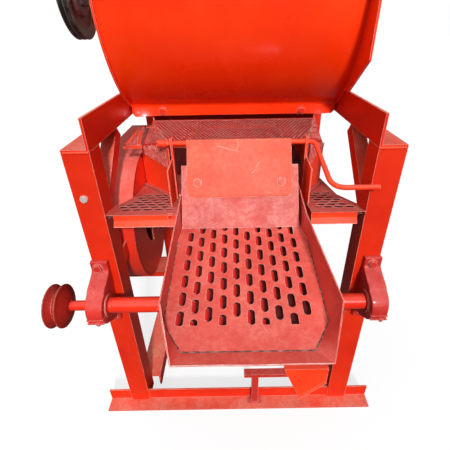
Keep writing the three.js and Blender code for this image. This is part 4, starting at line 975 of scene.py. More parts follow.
def gate_leaf():
    """The leaf hangs from the rod: its section wraps round the rod and runs down, bowing out a little
    between the rod and its foot, and both its lower corners are cut on a quarter circle."""
    low, high = corners_of("gate_leaf")
    inner_radius = ROD_RADIUS + PLAY
    outer_radius = inner_radius + SHEET
    angle = np.linspace(math.radians(-60), GATE_TILT + math.pi / 2, 26)
    round_line = stacked(np.cos(angle), np.sin(angle))
    reach = np.linspace(0.006, LEAF_LENGTH, 40)
    bow = LEAF_BOW * np.sin(np.pi * reach / LEAF_LENGTH)[:, None] * GATE_OUT
    outer, inner = (
        np.concatenate([ROD_AXIS + radius * round_line, gate_point(reach, radius) + bow])
        for radius in (outer_radius, inner_radius)
    )
    from_foot = np.concatenate([np.full(len(angle), LEAF_LENGTH), LEAF_LENGTH - reach])
    over = np.clip(LEAF_CORNER - from_foot, 0, LEAF_CORNER)
    trim = LEAF_CORNER - np.sqrt(LEAF_CORNER ** 2 - over ** 2)
    leaf = sheet_along_x(outer, inner, low[0] + trim, high[0] - trim)
    add_piece("gate_leaf_sheet", leaf, LEAF_RED, "gate", ("gate_leaf",), rounding=0.0005)
    for node in ("gate_bolt_left", "gate_bolt_right"):
        low, high = corners_of(node)
        seat = ((low[0] + high[0]) / 2, *gate_point(LEAF_BOLT_REACH, outer_radius + 3 * SEAT))
        head = bolt(seat, (0, *GATE_OUT), *LEAF_BOLT, 0.4)
        add_piece(f"{node}_head", head, LEAF_RED, "gate", (node,))


def gate_rod():
    """The rod is one round bar bent twice: straight lines with a Bezier curve of one corner at each bend."""
    low, high = corners_of("gate_rod")
    strap = corners_of("gate_strap_right")[1][0]
    y, z = ROD_AXIS
    hand_y, hand_z = low[1] + ROD_RADIUS, low[2] + ROD_RADIUS
    start = np.array([low[0] + ROD_START, y, z])
    elbow = np.array([strap + ROD_ELBOW, y, z])
    hand = np.array([ROD_HAND, hand_y, hand_z])
    tip = np.array([high[0], hand_y, hand_z])

    def bend(before, corner, after, reach):
        into = corner + (before - corner) / np.linalg.norm(before - corner) * reach
        out = corner + (after - corner) / np.linalg.norm(after - corner) * reach
        t = np.linspace(0, 1, 14)[:, None]
        return (1 - t) ** 2 * into + 2 * t * (1 - t) * corner + t ** 2 * out

    first = bend(start, elbow, hand, ROD_BENDS[0])
    second = bend(elbow, hand, tip, ROD_BENDS[1])
    along = np.linspace(0, 1, 10)[:, None]
    path = np.concatenate([
        [start], [start + (ROD_CAPS[0], 0, 0)],
        start + (first[0] - start) * along[1:-1], first,
        first[-1] + (second[0] - first[-1]) * along[1:-1], second,
        second[-1] + (tip - second[-1]) * along[1:-1], [tip - (ROD_CAPS[1], 0, 0)], [tip],
    ])
    radius = np.full(len(path), ROD_RADIUS)
    radius[[0, -1]] = 0
    radius[[1, -2]] = ROD_RADIUS * 0.93
    across = np.array([0, hand_z - z, y - hand_y])
    rod = tube(path, radius, across / np.linalg.norm(across), 24)
    left, right = low[0], low[0] + STUB_LENGTH
    chamfer = 0.001
    stub = turned([
        (0, left), (STUB_RADIUS - chamfer, left), (STUB_RADIUS, left + chamfer),
        (STUB_RADIUS, right - chamfer), (STUB_RADIUS - chamfer, right), (0, right),
    ], ROD_AXIS, 32)
    add_piece("gate_rod_round", together([rod, stub]), HOOD_RED, "gate", ("gate_rod",))


# Tray


def tray_place(points):
    """Points of the tray's own frame, turned by its slope and moved to its place on the machine."""
    x, y, z = np.moveaxis(np.asarray(points, float), -1, 0)
    cos, sin = math.cos(TRAY_SLOPE), math.sin(TRAY_SLOPE)
    return stacked(
        TRAY_PLACE[0] + x, TRAY_PLACE[1] + cos * y - sin * z, TRAY_PLACE[2] + sin * y + cos * z,
    )


def add_tray_piece(name, part, finish, hides=(), wall=0.0):
    """A piece drawn in the tray's own frame, put in its place."""
    points, faces = part
    add_piece(name, (tray_place(points), faces), finish, "shaker", hides, wall)


def tray_slots():
    """Middles of the slots. Columns are staggered by half a pitch, and each lies a little further back."""
    slots = []
    for column in range(TRAY_SLOT_COLUMNS):
        x = TRAY_SLOT_MIDDLE + TRAY_PITCH[0] * (column - (TRAY_SLOT_COLUMNS - 1) / 2)
        first = TRAY_SLOT_START + TRAY_SLOT_SKEW * column - TRAY_PITCH[1] * (0.5 if column % 2 else 1.0)
        for y in np.arange(first, TRAY_SLOT_REAR, TRAY_PITCH[1]):
            if y + TRAY_SLOT[1] / 2 > TRAY_SLOT_FRONT + TRAY_SLOT[0] / 2 + 0.001:
                slots.append((x, y))
    return np.array(slots)


def tray_half_width(edge, y):
    """Half the floor's width: narrow behind, a step out in front of the wings, and in to the front fold."""
    return np.interp(
        -y, [0, *TRAY_STEP_OUT, TRAY_STRAIGHT, TRAY_LENGTH],
        [edge["rear"], edge["rear"], edge["front"], edge["front"], edge["fold"]],
    )


def tray_floor():
    """The floor in plan: the distance to its sides and ends, less the slots, which end square in front."""
    slots = tray_slots()

    def metal(u, v):
        from_left = u + tray_half_width(TRAY_LEFT, v)
        from_right = tray_half_width(TRAY_RIGHT, v) - u
        inside = np.minimum(np.minimum(from_left, from_right), np.minimum(-v, v + TRAY_LENGTH))
        gap = slot_distance(u, v, slots, TRAY_SLOT)
        return np.minimum(inside, np.maximum(gap, TRAY_SLOT_FRONT - v))

    us = np.arange(*TRAY_REACH, TRAY_STEP)
    vs = np.arange(-TRAY_LENGTH - TRAY_STEP, TRAY_STEP * 1.5, TRAY_STEP)
    return cut_sheet(us, vs, metal, lambda u, v: (u, v, 0))


def tray_wall(side, edge):
    """A side wall is ruled between its foot on the floor's edge and its head, which flares out towards the
    front and comes down to the lip along the folded corner. It bows out by a sine both ways."""
    along = np.concatenate([
        np.linspace(0, TRAY_STEP_OUT[0], 8)[:-1], np.linspace(*TRAY_STEP_OUT, 6)[:-1],
        np.linspace(TRAY_STEP_OUT[1], TRAY_STRAIGHT, 20)[:-1], np.linspace(TRAY_STRAIGHT, TRAY_LENGTH, 10),
    ])
    stations = [0, TRAY_FLARE_START, TRAY_STRAIGHT, TRAY_LENGTH]
    behind = edge["rear"] + 0.001
    front = -TRAY_LENGTH - TRAY_LIP_REACH
    foot = stacked(tray_half_width(edge, -along), -along, 0)
    head = stacked(
        np.interp(along, stations, [behind, behind, edge["head"], edge["lip"]]),
        np.interp(along, stations, [0, -TRAY_FLARE_START, -TRAY_STRAIGHT, front]),
        np.interp(along, stations, [TRAY_HEIGHT, TRAY_HEIGHT, TRAY_HEIGHT, TRAY_LIP_RISE]),
    )
    points = ruled(foot, head)
    share = np.linspace(0, 1, points.shape[1])
    bow = TRAY_BOW * np.sin(np.pi * share) * np.sin(np.pi * along / TRAY_LENGTH)[:, None]
    points[..., 0] = side * (points[..., 0] + bow)
    part = surface(points)
    return flipped(part) if side < 0 else part


def lip_edge(across):
    """The lip's outer edge from left to right, with a slight wave in its height."""
    return stacked(
        -TRAY_LEFT["lip"] + (TRAY_LEFT["lip"] + TRAY_RIGHT["lip"]) * across,
        -TRAY_LENGTH - TRAY_LIP_REACH,
        TRAY_LIP_RISE + TRAY_LIP_WAVE[0] * np.sin(across * TRAY_LIP_WAVE[1]) * np.sin(np.pi * across),
    )


def tray_lip():
    """The front lip is ruled from the fold line up to its edge."""
    across = np.linspace(0, 1, 40)
    fold = -TRAY_LEFT["fold"] + (TRAY_LEFT["fold"] + TRAY_RIGHT["fold"]) * across
    return flipped(surface(ruled(stacked(fold, -TRAY_LENGTH, 0), lip_edge(across))))


def tray_underpan():
    """A shallow pan under the slots, in near-black painted shade so that the slots show dark: two floors,
    the front one wider, and low sides round both."""
    wall = 0.0012
    deep, under = -0.0165, -SHEET - SEAT
    front, step, rear = -0.4240, -0.1500, -0.0980
    left, right = -0.1345, 0.1260
    wide_left, wide_right = -0.1480, 0.1400
    pan = blocks(
        ((left, step, deep), (right, rear, deep + wall)),
        ((left, step, deep), (left + wall, rear, under)),
        ((right - wall, step, deep), (right, rear, under)),
        ((left, rear - wall, deep), (right, rear, under)),
        ((wide_left, front, deep), (wide_right, step, deep + wall)),
        ((wide_left, front, deep), (wide_left + wall, step, under)),
        ((wide_right - wall, front, deep), (wide_right, step, under)),
        ((wide_left, front, deep), (wide_right, front + wall, under)),
        ((wide_left, step - wall, deep), (left, step, under)),
        ((right, step - wall, deep), (wide_right, step, under)),
    )
    add_tray_piece("tray_underpan", pan, SHADED_PIT_RED)


def tray_flaps():
    """The metal of each slot is pressed down along its left side, as a short flap on a quarter curve."""
    width, length = TRAY_SLOT
    end_gap = 0.004
    turn = np.linspace(0, 1, 5) * np.pi / 2
    beside = -width / 2 - 0.0004 + TRAY_FLAP[0] * np.sin(turn)
    below = -SHEET * 0.5 - TRAY_FLAP[1] * (1 - np.cos(turn))
    parts = []
    for x, y in tray_slots():
        if x > TRAY_FLAPS_END[0] and y < TRAY_FLAPS_END[1]:
            continue
        front = max(y - length / 2 + end_gap, TRAY_SLOT_FRONT + 0.0005)
        rear = y + length / 2 - end_gap
        parts.append(surface(stacked(x + beside, np.array([[front], [rear]]), below)))
    add_tray_piece("tray_flaps", together(parts), MESH_RED, wall=0.0010)


def tray_beads(name, lines, radius, finish):
    """Thin beads along lines of the tray. Their radius is a function of each point's number."""
    parts = [
        tube(tray_place(line), radius(np.arange(len(line))), BEAD_FACING, 6) for line in lines
    ]
    add_piece(name, together(parts), finish, "shaker")


def tray_creases():
    """Painted shade in the tray's folds, as thin dark ridges along the foot of the walls and the lip."""
    along = np.linspace(TRAY_STEP_OUT[1], TRAY_LENGTH, 60)
    lines = [
        stacked(side * (tray_half_width(edge, -along) - 0.0005), -along, 0.0004)
        for side, edge in ((-1, TRAY_LEFT), (1, TRAY_RIGHT))
    ]
    across = np.linspace(-TRAY_LEFT["fold"], TRAY_RIGHT["fold"], 40)
    lines.append(stacked(across, -TRAY_LENGTH + 0.0006, 0.0004))
    tray_beads("tray_creases", lines, lambda i: 0.0010 + 0.0004 * np.sin(i * 1.7), CREASE_SHADE)


def tray_rim():
    """Bare chips along the edge of the lip and of the left corner: a thin bead that follows the edge."""
    corner_start = np.array([-TRAY_LEFT["head"], -TRAY_STRAIGHT, TRAY_HEIGHT])
    corner_end = np.array([-TRAY_LEFT["lip"], -TRAY_LENGTH - TRAY_LIP_REACH, TRAY_LIP_RISE])
    corner = corner_start + (corner_end - corner_start) * np.linspace(0, 1, 24)[:, None]
    tray_beads("tray_rim", [lip_edge(np.linspace(0, 1, 60)), corner], lambda i: 0.0011, CHIPPED_RIM)


def tray():
    """Floor, walls and lip are one sheet, and what hangs from it or lies on it rides with it."""
    parts = [tray_floor(), tray_wall(-1, TRAY_LEFT), tray_wall(1, TRAY_RIGHT), tray_lip()]
    add_tray_piece("sieve_tray_pan", together(parts), TRAY_RED, ("sieve_tray",), SHEET)
    tray_underpan()
    tray_flaps()
    tray_rim()
    tray_creases()


# Wings


def wing(node, side, inner_edge):
    """A wing is a flat slotted sheet that falls to the back, with an apron folded down at its front and the
    apron's lower half kicked out. u runs across the machine from the inner edge and v to the back."""
    low, high = corners_of(node)
    outer = high[0] if side > 0 else -low[0]
    inner = inner_edge * side
    rear = high[1]
    slots = []
    for row in range(WING_SLOT_ROWS):
        y = WING_SLOT_FRONT + WING_PITCH[1] * row
        edge = np.interp(y, WING_TAPER, [outer, WING_NARROW])
        shift = WING_PITCH[0] / 2 if row % 2 else 0.0
        spare = edge - inner - 2 * WING_SLOT_EDGE - WING_SLOT[0] - shift
        for reach in np.arange(0, spare + MERGE, WING_PITCH[0]):
            slots.append((inner + WING_SLOT_EDGE + WING_SLOT[0] / 2 + shift + reach, y))

    def metal(u, v):
        edge = np.interp(v, WING_TAPER, [outer, WING_NARROW])
        inside = np.minimum(np.minimum(u - inner, edge - u), np.minimum(v, rear - v))
        return np.minimum(inside, slot_distance(u, v, slots, WING_SLOT))

    def place(u, v):
        away = np.maximum(slot_distance(u, v, slots, WING_SLOT), 0)
        burr = WING_BURR * np.exp(-(away / WING_BURR) ** 2)
        return side * u, v, WING_TOP - WING_FALL * v + burr

    us = np.arange(inner - WING_STEP, outer + WING_STEP * 1.5, WING_STEP)
    vs = np.arange(-WING_STEP, rear + WING_STEP * 1.5, WING_STEP)
    top = cut_sheet(us, vs, metal, place)
    if side < 0:
        top = flipped(top)
    add_piece(f"{node}_sheet", top, WING_RED, "frame", (node,), wall=WING_SKIN)

    # The backing below the slots is a dark sheet in painted shade, so that the slots show dark
    play = 0.001
    back_y = np.array([0.012, *WING_TAPER, WING_TAPER[1] + 0.085])
    section = stacked(back_y, WING_TOP - WING_FALL * back_y - WING_BACKING_DROP)
    back_from = side * WING_BACKING_FROM[node]
    back_to = side * np.array([outer - 2 * play, outer - 2 * play, WING_NARROW - play, WING_NARROW - play])
    ends = (back_to, back_from) if side < 0 else (back_from, back_to)
    backing = sheet_along_x(section, section - (0, SHEET), *ends)
    add_piece(f"{node}_backing", backing, SHADED_PIT_RED, "frame")

    fold = 0.52
    drop = np.linspace(0, 1, 14)
    kick = APRON_KICK * np.clip((drop - fold) / (1 - fold), 0, 1)
    face = stacked(APRON_FACE - kick, WING_TOP - SHEET - drop * (APRON_HEIGHT - SHEET))
    apron = sheet_along_x(face, face + [SHEET, 0], *sorted([side * inner, side * (outer - APRON_SHORT)]))
    add_piece(f"{node}_apron", apron, HOOD_RED, "frame", rounding=0.0005)


# Hood


def hood_height(x, y):
    """Top of the hood: the lowest of its middle plane and its two side planes."""
    low, high = corners_of("hood_mesh_cover")
    rise = (HOOD_BACK[1] - HOOD_FRONT_HEIGHT) / (HOOD_BACK[0] - HOOD_FRONT)
    lowest = HOOD_FRONT_HEIGHT + (y - HOOD_FRONT) * rise
    for front, back, corner in (
        (HOOD_FRONT_LEFT, -THROAT_HALF, low[0]), (HOOD_FRONT_RIGHT, THROAT_HALF, high[0]),
    ):
        a = np.array([front, HOOD_FRONT, HOOD_FRONT_HEIGHT])
        b = np.array([back, *HOOD_BACK])
        c = np.array([corner, *HOOD_CORNER])
        normal = np.cross(b - a, c - a)
        plane = a[2] - ((x - a[0]) * normal[0] + (y - a[1]) * normal[1]) / normal[2]
        lowest = np.minimum(lowest, plane)
    return lowest


def diamond_mesh(outline, place, pitch=DIAMOND):
    """Expanded metal over a flat outline: cells in staggered rows, each a ring of four quads between the
    cell's rhombus and the smaller rhombus of its hole. Cells whose middle lies outside the outline are left
    out."""
    corners = np.array(outline)
    low, high = corners.min(0), corners.max(0)
    columns = np.arange(low[0] - pitch[0], high[0] + pitch[0], pitch[0])
    rows = np.arange(low[1] - pitch[1], high[1] + pitch[1], pitch[1] / 2)
    x, y = np.meshgrid(columns, rows)
    x = x + np.where(np.arange(len(rows)) % 2, pitch[0] / 2, 0)[:, None]
    x, y = x.ravel(), y.ravel()
    kept = np.ones(len(x), bool)
    for start, end in zip(corners, np.roll(corners, -1, axis=0)):
        run = (end - start) / np.linalg.norm(end - start)
        kept &= (y - start[1]) * run[0] - (x - start[0]) * run[1] > 0
    x, y = x[kept][:, None, None], y[kept][:, None, None]
    turn = np.arange(4) * np.pi / 2
    shares = np.array([1.0, DIAMOND_OPEN])[:, None]
    u = x + shares * pitch[0] / 2 * np.cos(turn)
    v = y + shares * pitch[1] / 2 * np.sin(turn)
    ring = grid_faces(2, 4, False, True)
    faces = (ring[None, :, ::-1] + 8 * np.arange(len(x))[:, None, None]).reshape(-1, 4)
    return stacked(*place(u.ravel(), v.ravel())), faces


def hood_cover():
    """The hood's mesh and a bare border round it, each border strip running in towards the hood's middle."""
    low, high = corners_of("hood_mesh_cover")
    back = HOOD_BACK[0]
    outline = [
        (HOOD_FRONT_LEFT, HOOD_FRONT), (HOOD_FRONT_RIGHT, HOOD_FRONT), (high[0], HOOD_CORNER[0]),
        (THROAT_HALF, back), (-THROAT_HALF, back), (low[0], HOOD_CORNER[0]),
    ]
    top = diamond_mesh(outline, lambda u, v: (u, v, hood_height(u, v)))
    add_piece("hood_mesh", top, MESH_RED, "frame", ("hood_mesh_cover",), wall=0.0012)
    corners = np.array(outline)
    middle = corners.mean(0)
    border = []
    for start, end in zip(corners, np.roll(corners, -1, axis=0)):
        edge = start + (end - start) * np.linspace(0, 1, 16)[:, None]
        inward = middle - edge
        inside = edge + inward * HOOD_BORDER / np.linalg.norm(inward, axis=1)[:, None]
        x, y = np.moveaxis(np.stack([edge, inside], axis=1), -1, 0)
        border.append(surface(stacked(x, y, hood_height(x, y) + 0.0004)))
    add_piece("hood_mesh_border", together(border), MESH_RED, "frame", wall=0.0022, even=False)


def cheek_cloth():
    """The mesh is turned down over the outside of each cheek, longest beside the gate, and each cheek has a
    narrow foot that lies on its wing. s runs along the cheek from the front and z up."""
    top_front, top_back = CHEEK_TOP
    for side, (front, back, reach) in CHEEKS.items():
        front, back = np.array(front), np.array(back)
        length = np.linalg.norm(back - front)
        run = (back - front) / length
        out = np.array([run[1], -run[0]]) * (-1 if side == "left" else 1)
        outline = [
            (0.002, top_front - reach), (length * 0.62, top_back - 0.012), (length, top_back - 0.010),
            (length, top_back), (0.002, top_front),
        ]

        def place(s, z, front=front, run=run, out=out):
            x, y = (front + np.multiply.outer(s, run) + out * CHEEK_STAND_OFF).T
            return x, y, z

        cloth = diamond_mesh(outline, place, CHEEK_DIAMOND)
        add_piece(f"cheek_mesh_{side}", cloth, MESH_RED, "frame", wall=0.0011)
        inner = front + (back - front) * np.linspace(0.04, 0.93, 12)[:, None] + out * 0.0004
        x, y = np.moveaxis(np.stack([inner, inner + out * CHEEK_FOOT], axis=1), -1, 0)
        foot = surface(stacked(x, y, WING_TOP - WING_FALL * y + SHEET + SEAT))
        if side == "left":
            foot = flipped(foot)
        add_piece(f"cheek_foot_{side}", foot, WING_RED, "frame", wall=0.0020)


def side_shelf():
    """The shelf is a lit frame of folded strip round a panel of the same expanded metal."""
    (x0, y0, z0), (x1, y1, z1) = corners_of("hood_side_shelf")
    edge = SHELF_EDGE
    front_right = x1 - SHELF_INSET
    waist = front_right - SHELF_WAIST[0], y0 + SHELF_WAIST[1]
    outline = [(x0, y0), (front_right, y0), waist, (waist[0], y1), (x0, y1)]
    panel = diamond_mesh(outline, lambda u, v: (u, v, z1 - 0.001))
    add_piece("side_shelf_mesh", panel, MESH_RED, "frame", ("hood_side_shelf",), wall=0.0012)
    under, top = z1 - SHEET, z1 + 0.0001
    strips = blocks(
        ((x0, y0, z0), (front_right, y0 + SHEET, z1)),
        ((x0, y0, under), (front_right, y0 + edge, top)),
        ((x0, y0, under), (x0 + edge, y1, top)),
        ((front_right - 0.038, y1 - edge, under), (x1, y1, top)),
        ((x0, y1 - edge, under), (front_right - 0.03, y1, top)),
    )
    add_piece("side_shelf_frame", strips, HOOD_RED, "frame", rounding=0.0005)
    front, back = (front_right - 0.004, y0, z1), (waist[0] - 0.004, waist[1], z1)
    rib = np.array([[front, back], np.array([front, back]) - (edge, 0, 0)])
    add_piece("side_shelf_rib", surface(rib), HOOD_RED, "frame", wall=SHEET)


# Fan


def fan_scroll():
    """The scroll: a rolled barrel from the top round to the cut-off, two side sheets cut to the disc and
    the duct, with the round eye in the inner one, the duct's floor and roof, and the angle below it."""
    low, high = corners_of("fan_housing")
    y, z = FAN_AXIS
    radius, mouth = FAN_RADIUS, FAN_MOUTH
    top, bottom = z + radius, z - radius
    x0, x1 = low[0], FAN_INNER_SIDE
    sides = np.array([x0, x1])
    duct_foot = top - FAN_DUCT
    cut_off = math.asin((duct_foot - z) / radius)
    angle = np.linspace(np.pi / 2, 2 * np.pi + cut_off, 110)[:, None]
    roof_y = np.linspace(mouth, y, 12)[:, None]
    floor_y = np.linspace(y + radius * math.cos(cut_off), mouth, 8)[:, None]
    shell = together([
        surface(stacked(sides, y + radius * np.cos(angle), z + radius * np.sin(angle))),
        surface(stacked(sides, roof_y, top)), surface(stacked(sides, floor_y, duct_foot)),
    ])
    add_piece("fan_barrel", shell, FAN_RED, "frame", ("fan_housing",), wall=FAN_WALL)

    def with_bore(u, v):
        from_axis = np.hypot(u - y, v - z)
        duct = np.minimum(np.minimum(u - y, mouth - u), np.minimum(v - duct_foot, top - v))
        return np.minimum(np.maximum(radius - from_axis, duct), from_axis - FAN_BORE_CUT)

    def with_eye(u, v):
        ring = np.hypot(u - y, v - z) - FAN_EYE
        return np.minimum(with_bore(u, v), np.maximum(ring, FAN_EYE_BAR - np.abs(u - y)))

    us = np.arange(y - radius - FAN_STEP, mouth + FAN_STEP * 1.5, FAN_STEP)
    vs = np.arange(bottom - FAN_STEP, top + FAN_STEP * 1.5, FAN_STEP)
    inner = cut_sheet(us, vs, with_eye, lambda u, v: (x1, u, v))
    outer = cut_sheet(us, vs, with_bore, lambda u, v: (x0, u, v))
    add_piece("fan_side_inner", inner, FAN_RED, "frame", wall=FAN_WALL)
    add_piece("fan_side_outer", flipped(outer), FAN_RED, "frame", wall=FAN_WALL)
    rim_radius = radius - 0.0005
    circle = y + rim_radius * np.cos(angle[:, 0]), z + rim_radius * np.sin(angle[:, 0])
    rims = [tube(stacked(x, *circle), FAN_RIM, (1, 0, 0), 8) for x in (x0 + 0.002, x1 - 0.002)]
    add_piece("fan_rims", together(rims), FAN_RED, "frame")
    base_top = bottom + 0.005
    front, back = FAN_BASE
    stay_left, stay_right = FAN_STAY
    base = blocks(
        ((x0, front, base_top - FAN_BASE_WALL), (high[0], back, base_top)),
        ((x0, front, base_top - FAN_BASE_DROP), (high[0], front + FAN_BASE_WALL, base_top)),
        ((stay_left, LEG_BACK, z - FAN_STAY_HALF), (stay_right, y - radius + 0.005, z + FAN_STAY_HALF)),
    )
    add_piece("fan_base", base, FRAME_RED, "frame", rounding=0.0006)


def rear_shade_sheet():
    """A plain sheet in near-black painted shade hangs from the throat's rear wall, so that the gaps into the
    hood show dark.
    """
    low, high = corners_of("throat_duct")
    face = high[1] + SEAT
    foot, head = low[2] - SHADE_SHEET_DROP, low[2] + SHADE_SHEET_LAP
    left, right = SHADE_SHEET_SPAN
    sheet = blocks(((left, face, foot), (right, face + SHEET, head)))
    add_piece("rear_shade_sheet", sheet, SHADED_PAN_RED, "frame", rounding=SHEET_ROUNDING)
    heads = [
        bolt((x, face + SHEET, low[2] + 0.026), (0, 1, 0), *JOINT_BOLT, x * 5)
        for x in np.linspace(-SHADE_SHEET_BOLTS, SHADE_SHEET_BOLTS, 4)
    ]
    add_piece("shade_sheet_bolts", together(heads), FRAME_RED, "frame")


# Small fasteners and welds


def frame_bolts():
    """Bolts that the photograph shows and that a machine of this kind has at its joints."""
    y, z = CASING_AXIS
    strip_face = THROAT_FRONT - STRIP_WALL / 2
    bolt_line = corners_of("top_rail_left")[1][2] - 0.03
    ahead = (0, -1, 0)
    brace_x, brace_y, brace_z = BRACE_BOLT_PLACE
    red = [
        bolt((-0.2126, strip_face, 0.9089), ahead, *STRIP_BOLT, 0.2),
        bolt((0.2033, strip_face, 0.9051), ahead, *STRIP_BOLT, 0.7),
        bolt((-0.1551, APRON_FACE, 0.7385), ahead, *APRON_BOLT, 0.3),
        bolt((brace_x, brace_y, brace_z), (1, 0, 0), *JOINT_BOLT, 0.5),
        bolt((-brace_x, brace_y, brace_z), (-1, 0, 0), *JOINT_BOLT, 0.1),
    ]
    reach = CASING_RADIUS + 0.013
    for x in np.linspace(-0.26, 0.26, 5):
        for place in (y - reach, y + reach):
            red.append(bolt((x, place, z + 0.0042), (0, 0, 1), *COVER_BOLT, x * 9))
    for side in (-1, 1):
        for place in (0.33, 0.492, 0.655):
            red.append(bolt((side * RAIL_FACE, place, bolt_line), (side, 0, 0), *RAIL_BOLT, place * 7))
    add_piece("frame_bolts", together(red), FRAME_RED, "frame")
    low, high = corners_of("leg_bolt")
    middle = (low + high) / 2
    head = bolt((middle[0], high[1], middle[2]), ahead, *LEG_BOLT, 0.5)
    add_piece("leg_bolt_head", head, BOLT_STEEL, "frame", ("leg_bolt",))


def welds():
    """Beads where the frame's angles meet, along the legs' heads, the foot bar and the gate's straps."""
    rail = corners_of("top_rail_left")[0][2]
    low, high = corners_of("front_leg_right")
    beads = []
    for side in (-1, 1):
        inner, outer = side * low[0], side * high[0]
        brace = side * RAIL_FACE
        beads += [
            weld_bead((inner, 0.0, rail), (outer, 0.0, rail), 0.0026),
            weld_bead((side * 0.3095, 0.0113, 0.0505), (side * 0.3155, 0.0113, 0.0505), 0.003),
            weld_bead((inner, 0.006, 0.048), (inner, 0.006, 0.008), 0.0028, (1, 0, 0)),
            weld_bead((outer, 0.006, 0.048), (outer, 0.006, 0.008), 0.0028, (1, 0, 0)),
            weld_bead((brace, 0.03, 0.737), (brace, 0.062, 0.766), 0.0026),
        ]
    for node in ("gate_strap_left", "gate_strap_right"):
        left = corners_of(node)[0][0]
        beads.append(weld_bead((left, 0.13, 0.7245), (left, 0.15, 0.7212), 0.0022))
    add_piece("weld_beads", together(beads), HOOD_RED, "frame")


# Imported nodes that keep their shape

KEPT_FINISHES = {
    FRAME_RED: (
        "front_leg_left", "front_leg_right", "rear_leg_left", "rear_leg_right", "top_rail_left",
        "top_rail_right", "base_rail_left", "base_rail_right", "front_foot_bar", "rear_foot_bar",
        "rear_cross_beam", "knee_brace_left", "knee_brace_right",
    ),
    CASING_RED: ("end_plate_left", "end_plate_right", "feed_hopper"),
    HOOD_RED: (
        "hood_cheek_left", "hood_cheek_right", "throat_duct", "gate_strap_left", "gate_strap_right",
        "outlet_spout",
    ),
    FLAP_RED: ("gate_flap",),
    # The sieve deck gets the near-black enamel of painted shade
    SHADED_PAN_RED: ("sieve_deck",),
    CAST_RED: ("spout_stand",),
    DARK_RED: (
        "threshing_rotor", "concave_grate", "deck_rest", "tray_runner_left", "tray_runner_right",
        "pitman_bracket", "pitman", "fan_impeller",
    ),
    TURNED_STEEL: ("shaker_eccentric",),
}


def kept_nodes():
    """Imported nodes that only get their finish."""
    for finish, nodes in KEPT_FINISHES.items():
        for node in nodes:
            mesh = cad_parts[node].data
            mesh.materials.clear()
            mesh.materials.append(finish)


# Floor, light and camera

SUN_STRENGTH = 3.5
SUN_WIDTH = math.radians(7)
SUN_FROM = (0.15, -0.83, 0.53)
TOP_STRENGTH = 1.5
TOP_WIDTH = math.radians(100)
TOP_FROM = (-0.35, -0.20, 0.92)
SKY_STRENGTH = 0.15
SKY_GLOSS = 0.16
FLOOR_GLOW = 0.72
FLOOR_WHITE = 1.04
FLOOR_SEEN = 0.86
FLOOR_BOUNCE = 0.10


def light_share(wire, *rays):
    """1 where the ray is one of those named, else 0."""
    path = wire.node("ShaderNodeLightPath").outputs
    share = path[rays[0]]
    for ray in rays[1:]:
        share = wire.math("MAXIMUM", share, path[ray])
    return share


def backdrop():
    """White behind the machine, and a dimmer sky for its light and its gloss."""
    world = bpy.data.worlds.new("pale_room")
    wire = emptied(world)
    seen = light_share(wire, "Is Camera Ray", "Is Transmission Ray")
    glossy = light_share(wire, "Is Glossy Ray")
    level = wire.math("MULTIPLY_ADD", seen, 1 - SKY_STRENGTH, SKY_STRENGTH)
    level = wire.math("MULTIPLY_ADD", glossy, SKY_GLOSS - SKY_STRENGTH, level)
    shade = wire.node("ShaderNodeBackground", Color=(1, 1, 1, 1), Strength=level)
    wire.node("ShaderNodeOutputWorld", Surface=shade.outputs[0])
    bpy.context.scene.world = world


def floor():
    """A wide floor that the camera sees nearly white, with the machine's shadow on it."""
    reach = 30.0
    corners = [(-reach, -reach, 0), (reach, -reach, 0), (reach, reach, 0), (-reach, reach, 0)]
    mesh = bpy.data.meshes.new("floor")
    mesh.from_pydata(corners, [], [(0, 1, 2, 3)])
    material = bpy.data.materials.new("pale_floor")
    wire = emptied(material)
    seen = light_share(wire, "Is Camera Ray")
    level = wire.math("MULTIPLY_ADD", seen, FLOOR_SEEN - FLOOR_BOUNCE, FLOOR_BOUNCE)
    tone = wire.node("ShaderNodeCombineColor", Red=level, Green=level, Blue=level).outputs[0]
    matt = wire.node("ShaderNodeBsdfDiffuse", Color=tone).outputs[0]
    glow = wire.node("ShaderNodeEmission", Color=(1, 1, 1, 1), Strength=FLOOR_WHITE).outputs[0]
    share = wire.math("MULTIPLY", seen, FLOOR_GLOW)
    mixed = wire.in_order("ShaderNodeMixShader", {}, share, matt, glow)
    wire.node("ShaderNodeOutputMaterial", Surface=mixed.outputs[0])
    mesh.materials.append(material)
    ground = bpy.data.objects.new("floor", mesh)
    bpy.context.scene.collection.objects.link(ground)


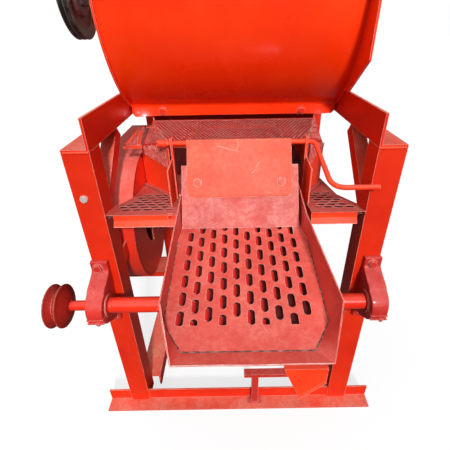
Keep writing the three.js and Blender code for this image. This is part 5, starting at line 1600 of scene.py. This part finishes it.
def lamps():
    """A low sun from in front and a wide soft light from above."""
    for name, strength, width, source in (
        ("key_sun", SUN_STRENGTH, SUN_WIDTH, SUN_FROM), ("soft_top", TOP_STRENGTH, TOP_WIDTH, TOP_FROM),
    ):
        sun = bpy.data.lights.new(name, "SUN")
        sun.energy, sun.angle = strength, width
        lamp = bpy.data.objects.new(name, sun)
        lamp.rotation_mode = "QUATERNION"
        lamp.rotation_quaternion = Vector(source).to_track_quat("Z", "Y")
        bpy.context.scene.collection.objects.link(lamp)


# The photograph's camera: place, pitch down, roll and length, and how far its middle is moved sideways
CAMERA_PLACE = (0.0, -0.690, 1.128)
CAMERA_PITCH = math.radians(31)
CAMERA_ROLL = math.radians(0.95)
CAMERA_LENGTH_SHARE = 333 / 450
CAMERA_SHIFT = -10.5 / 450


def camera():
    """The photograph's camera, pitched down about X and then rolled about its own line of sight."""
    data = bpy.data.cameras.new("photo_camera")
    data.sensor_fit, data.sensor_width = "HORIZONTAL", 36.0
    data.lens = 36.0 * CAMERA_LENGTH_SHARE
    data.shift_x = CAMERA_SHIFT
    data.clip_start, data.clip_end = 0.02, 60.0
    heading = Vector((0, math.cos(CAMERA_PITCH), -math.sin(CAMERA_PITCH)))
    level = Vector((1, 0, 0))
    above = level.cross(heading)
    right = level * math.cos(CAMERA_ROLL) - above * math.sin(CAMERA_ROLL)
    up = above * math.cos(CAMERA_ROLL) + level * math.sin(CAMERA_ROLL)
    turn = Matrix((right, up, -heading)).transposed()
    eye = bpy.data.objects.new("photo_camera", data)
    eye.matrix_world = Matrix.Translation(CAMERA_PLACE) @ turn.to_4x4()
    bpy.context.scene.collection.objects.link(eye)
    bpy.context.scene.camera = eye


camera()
lamps()
backdrop()
floor()
bpy.context.scene.view_settings.view_transform = "Standard"

kept_nodes()
wrappers()
upper_cover()
pulleys()
plain_shafts()
front_shaft()
flange_bearings()
plummer_blocks()
gate_leaf()
gate_rod()
tray()
wing("wing_left", -1, -0.142)
wing("wing_right", 1, 0.182)
hood_cover()
cheek_cloth()
side_shelf()
rear_shade_sheet()
fan_scroll()
frame_bolts()
welds()
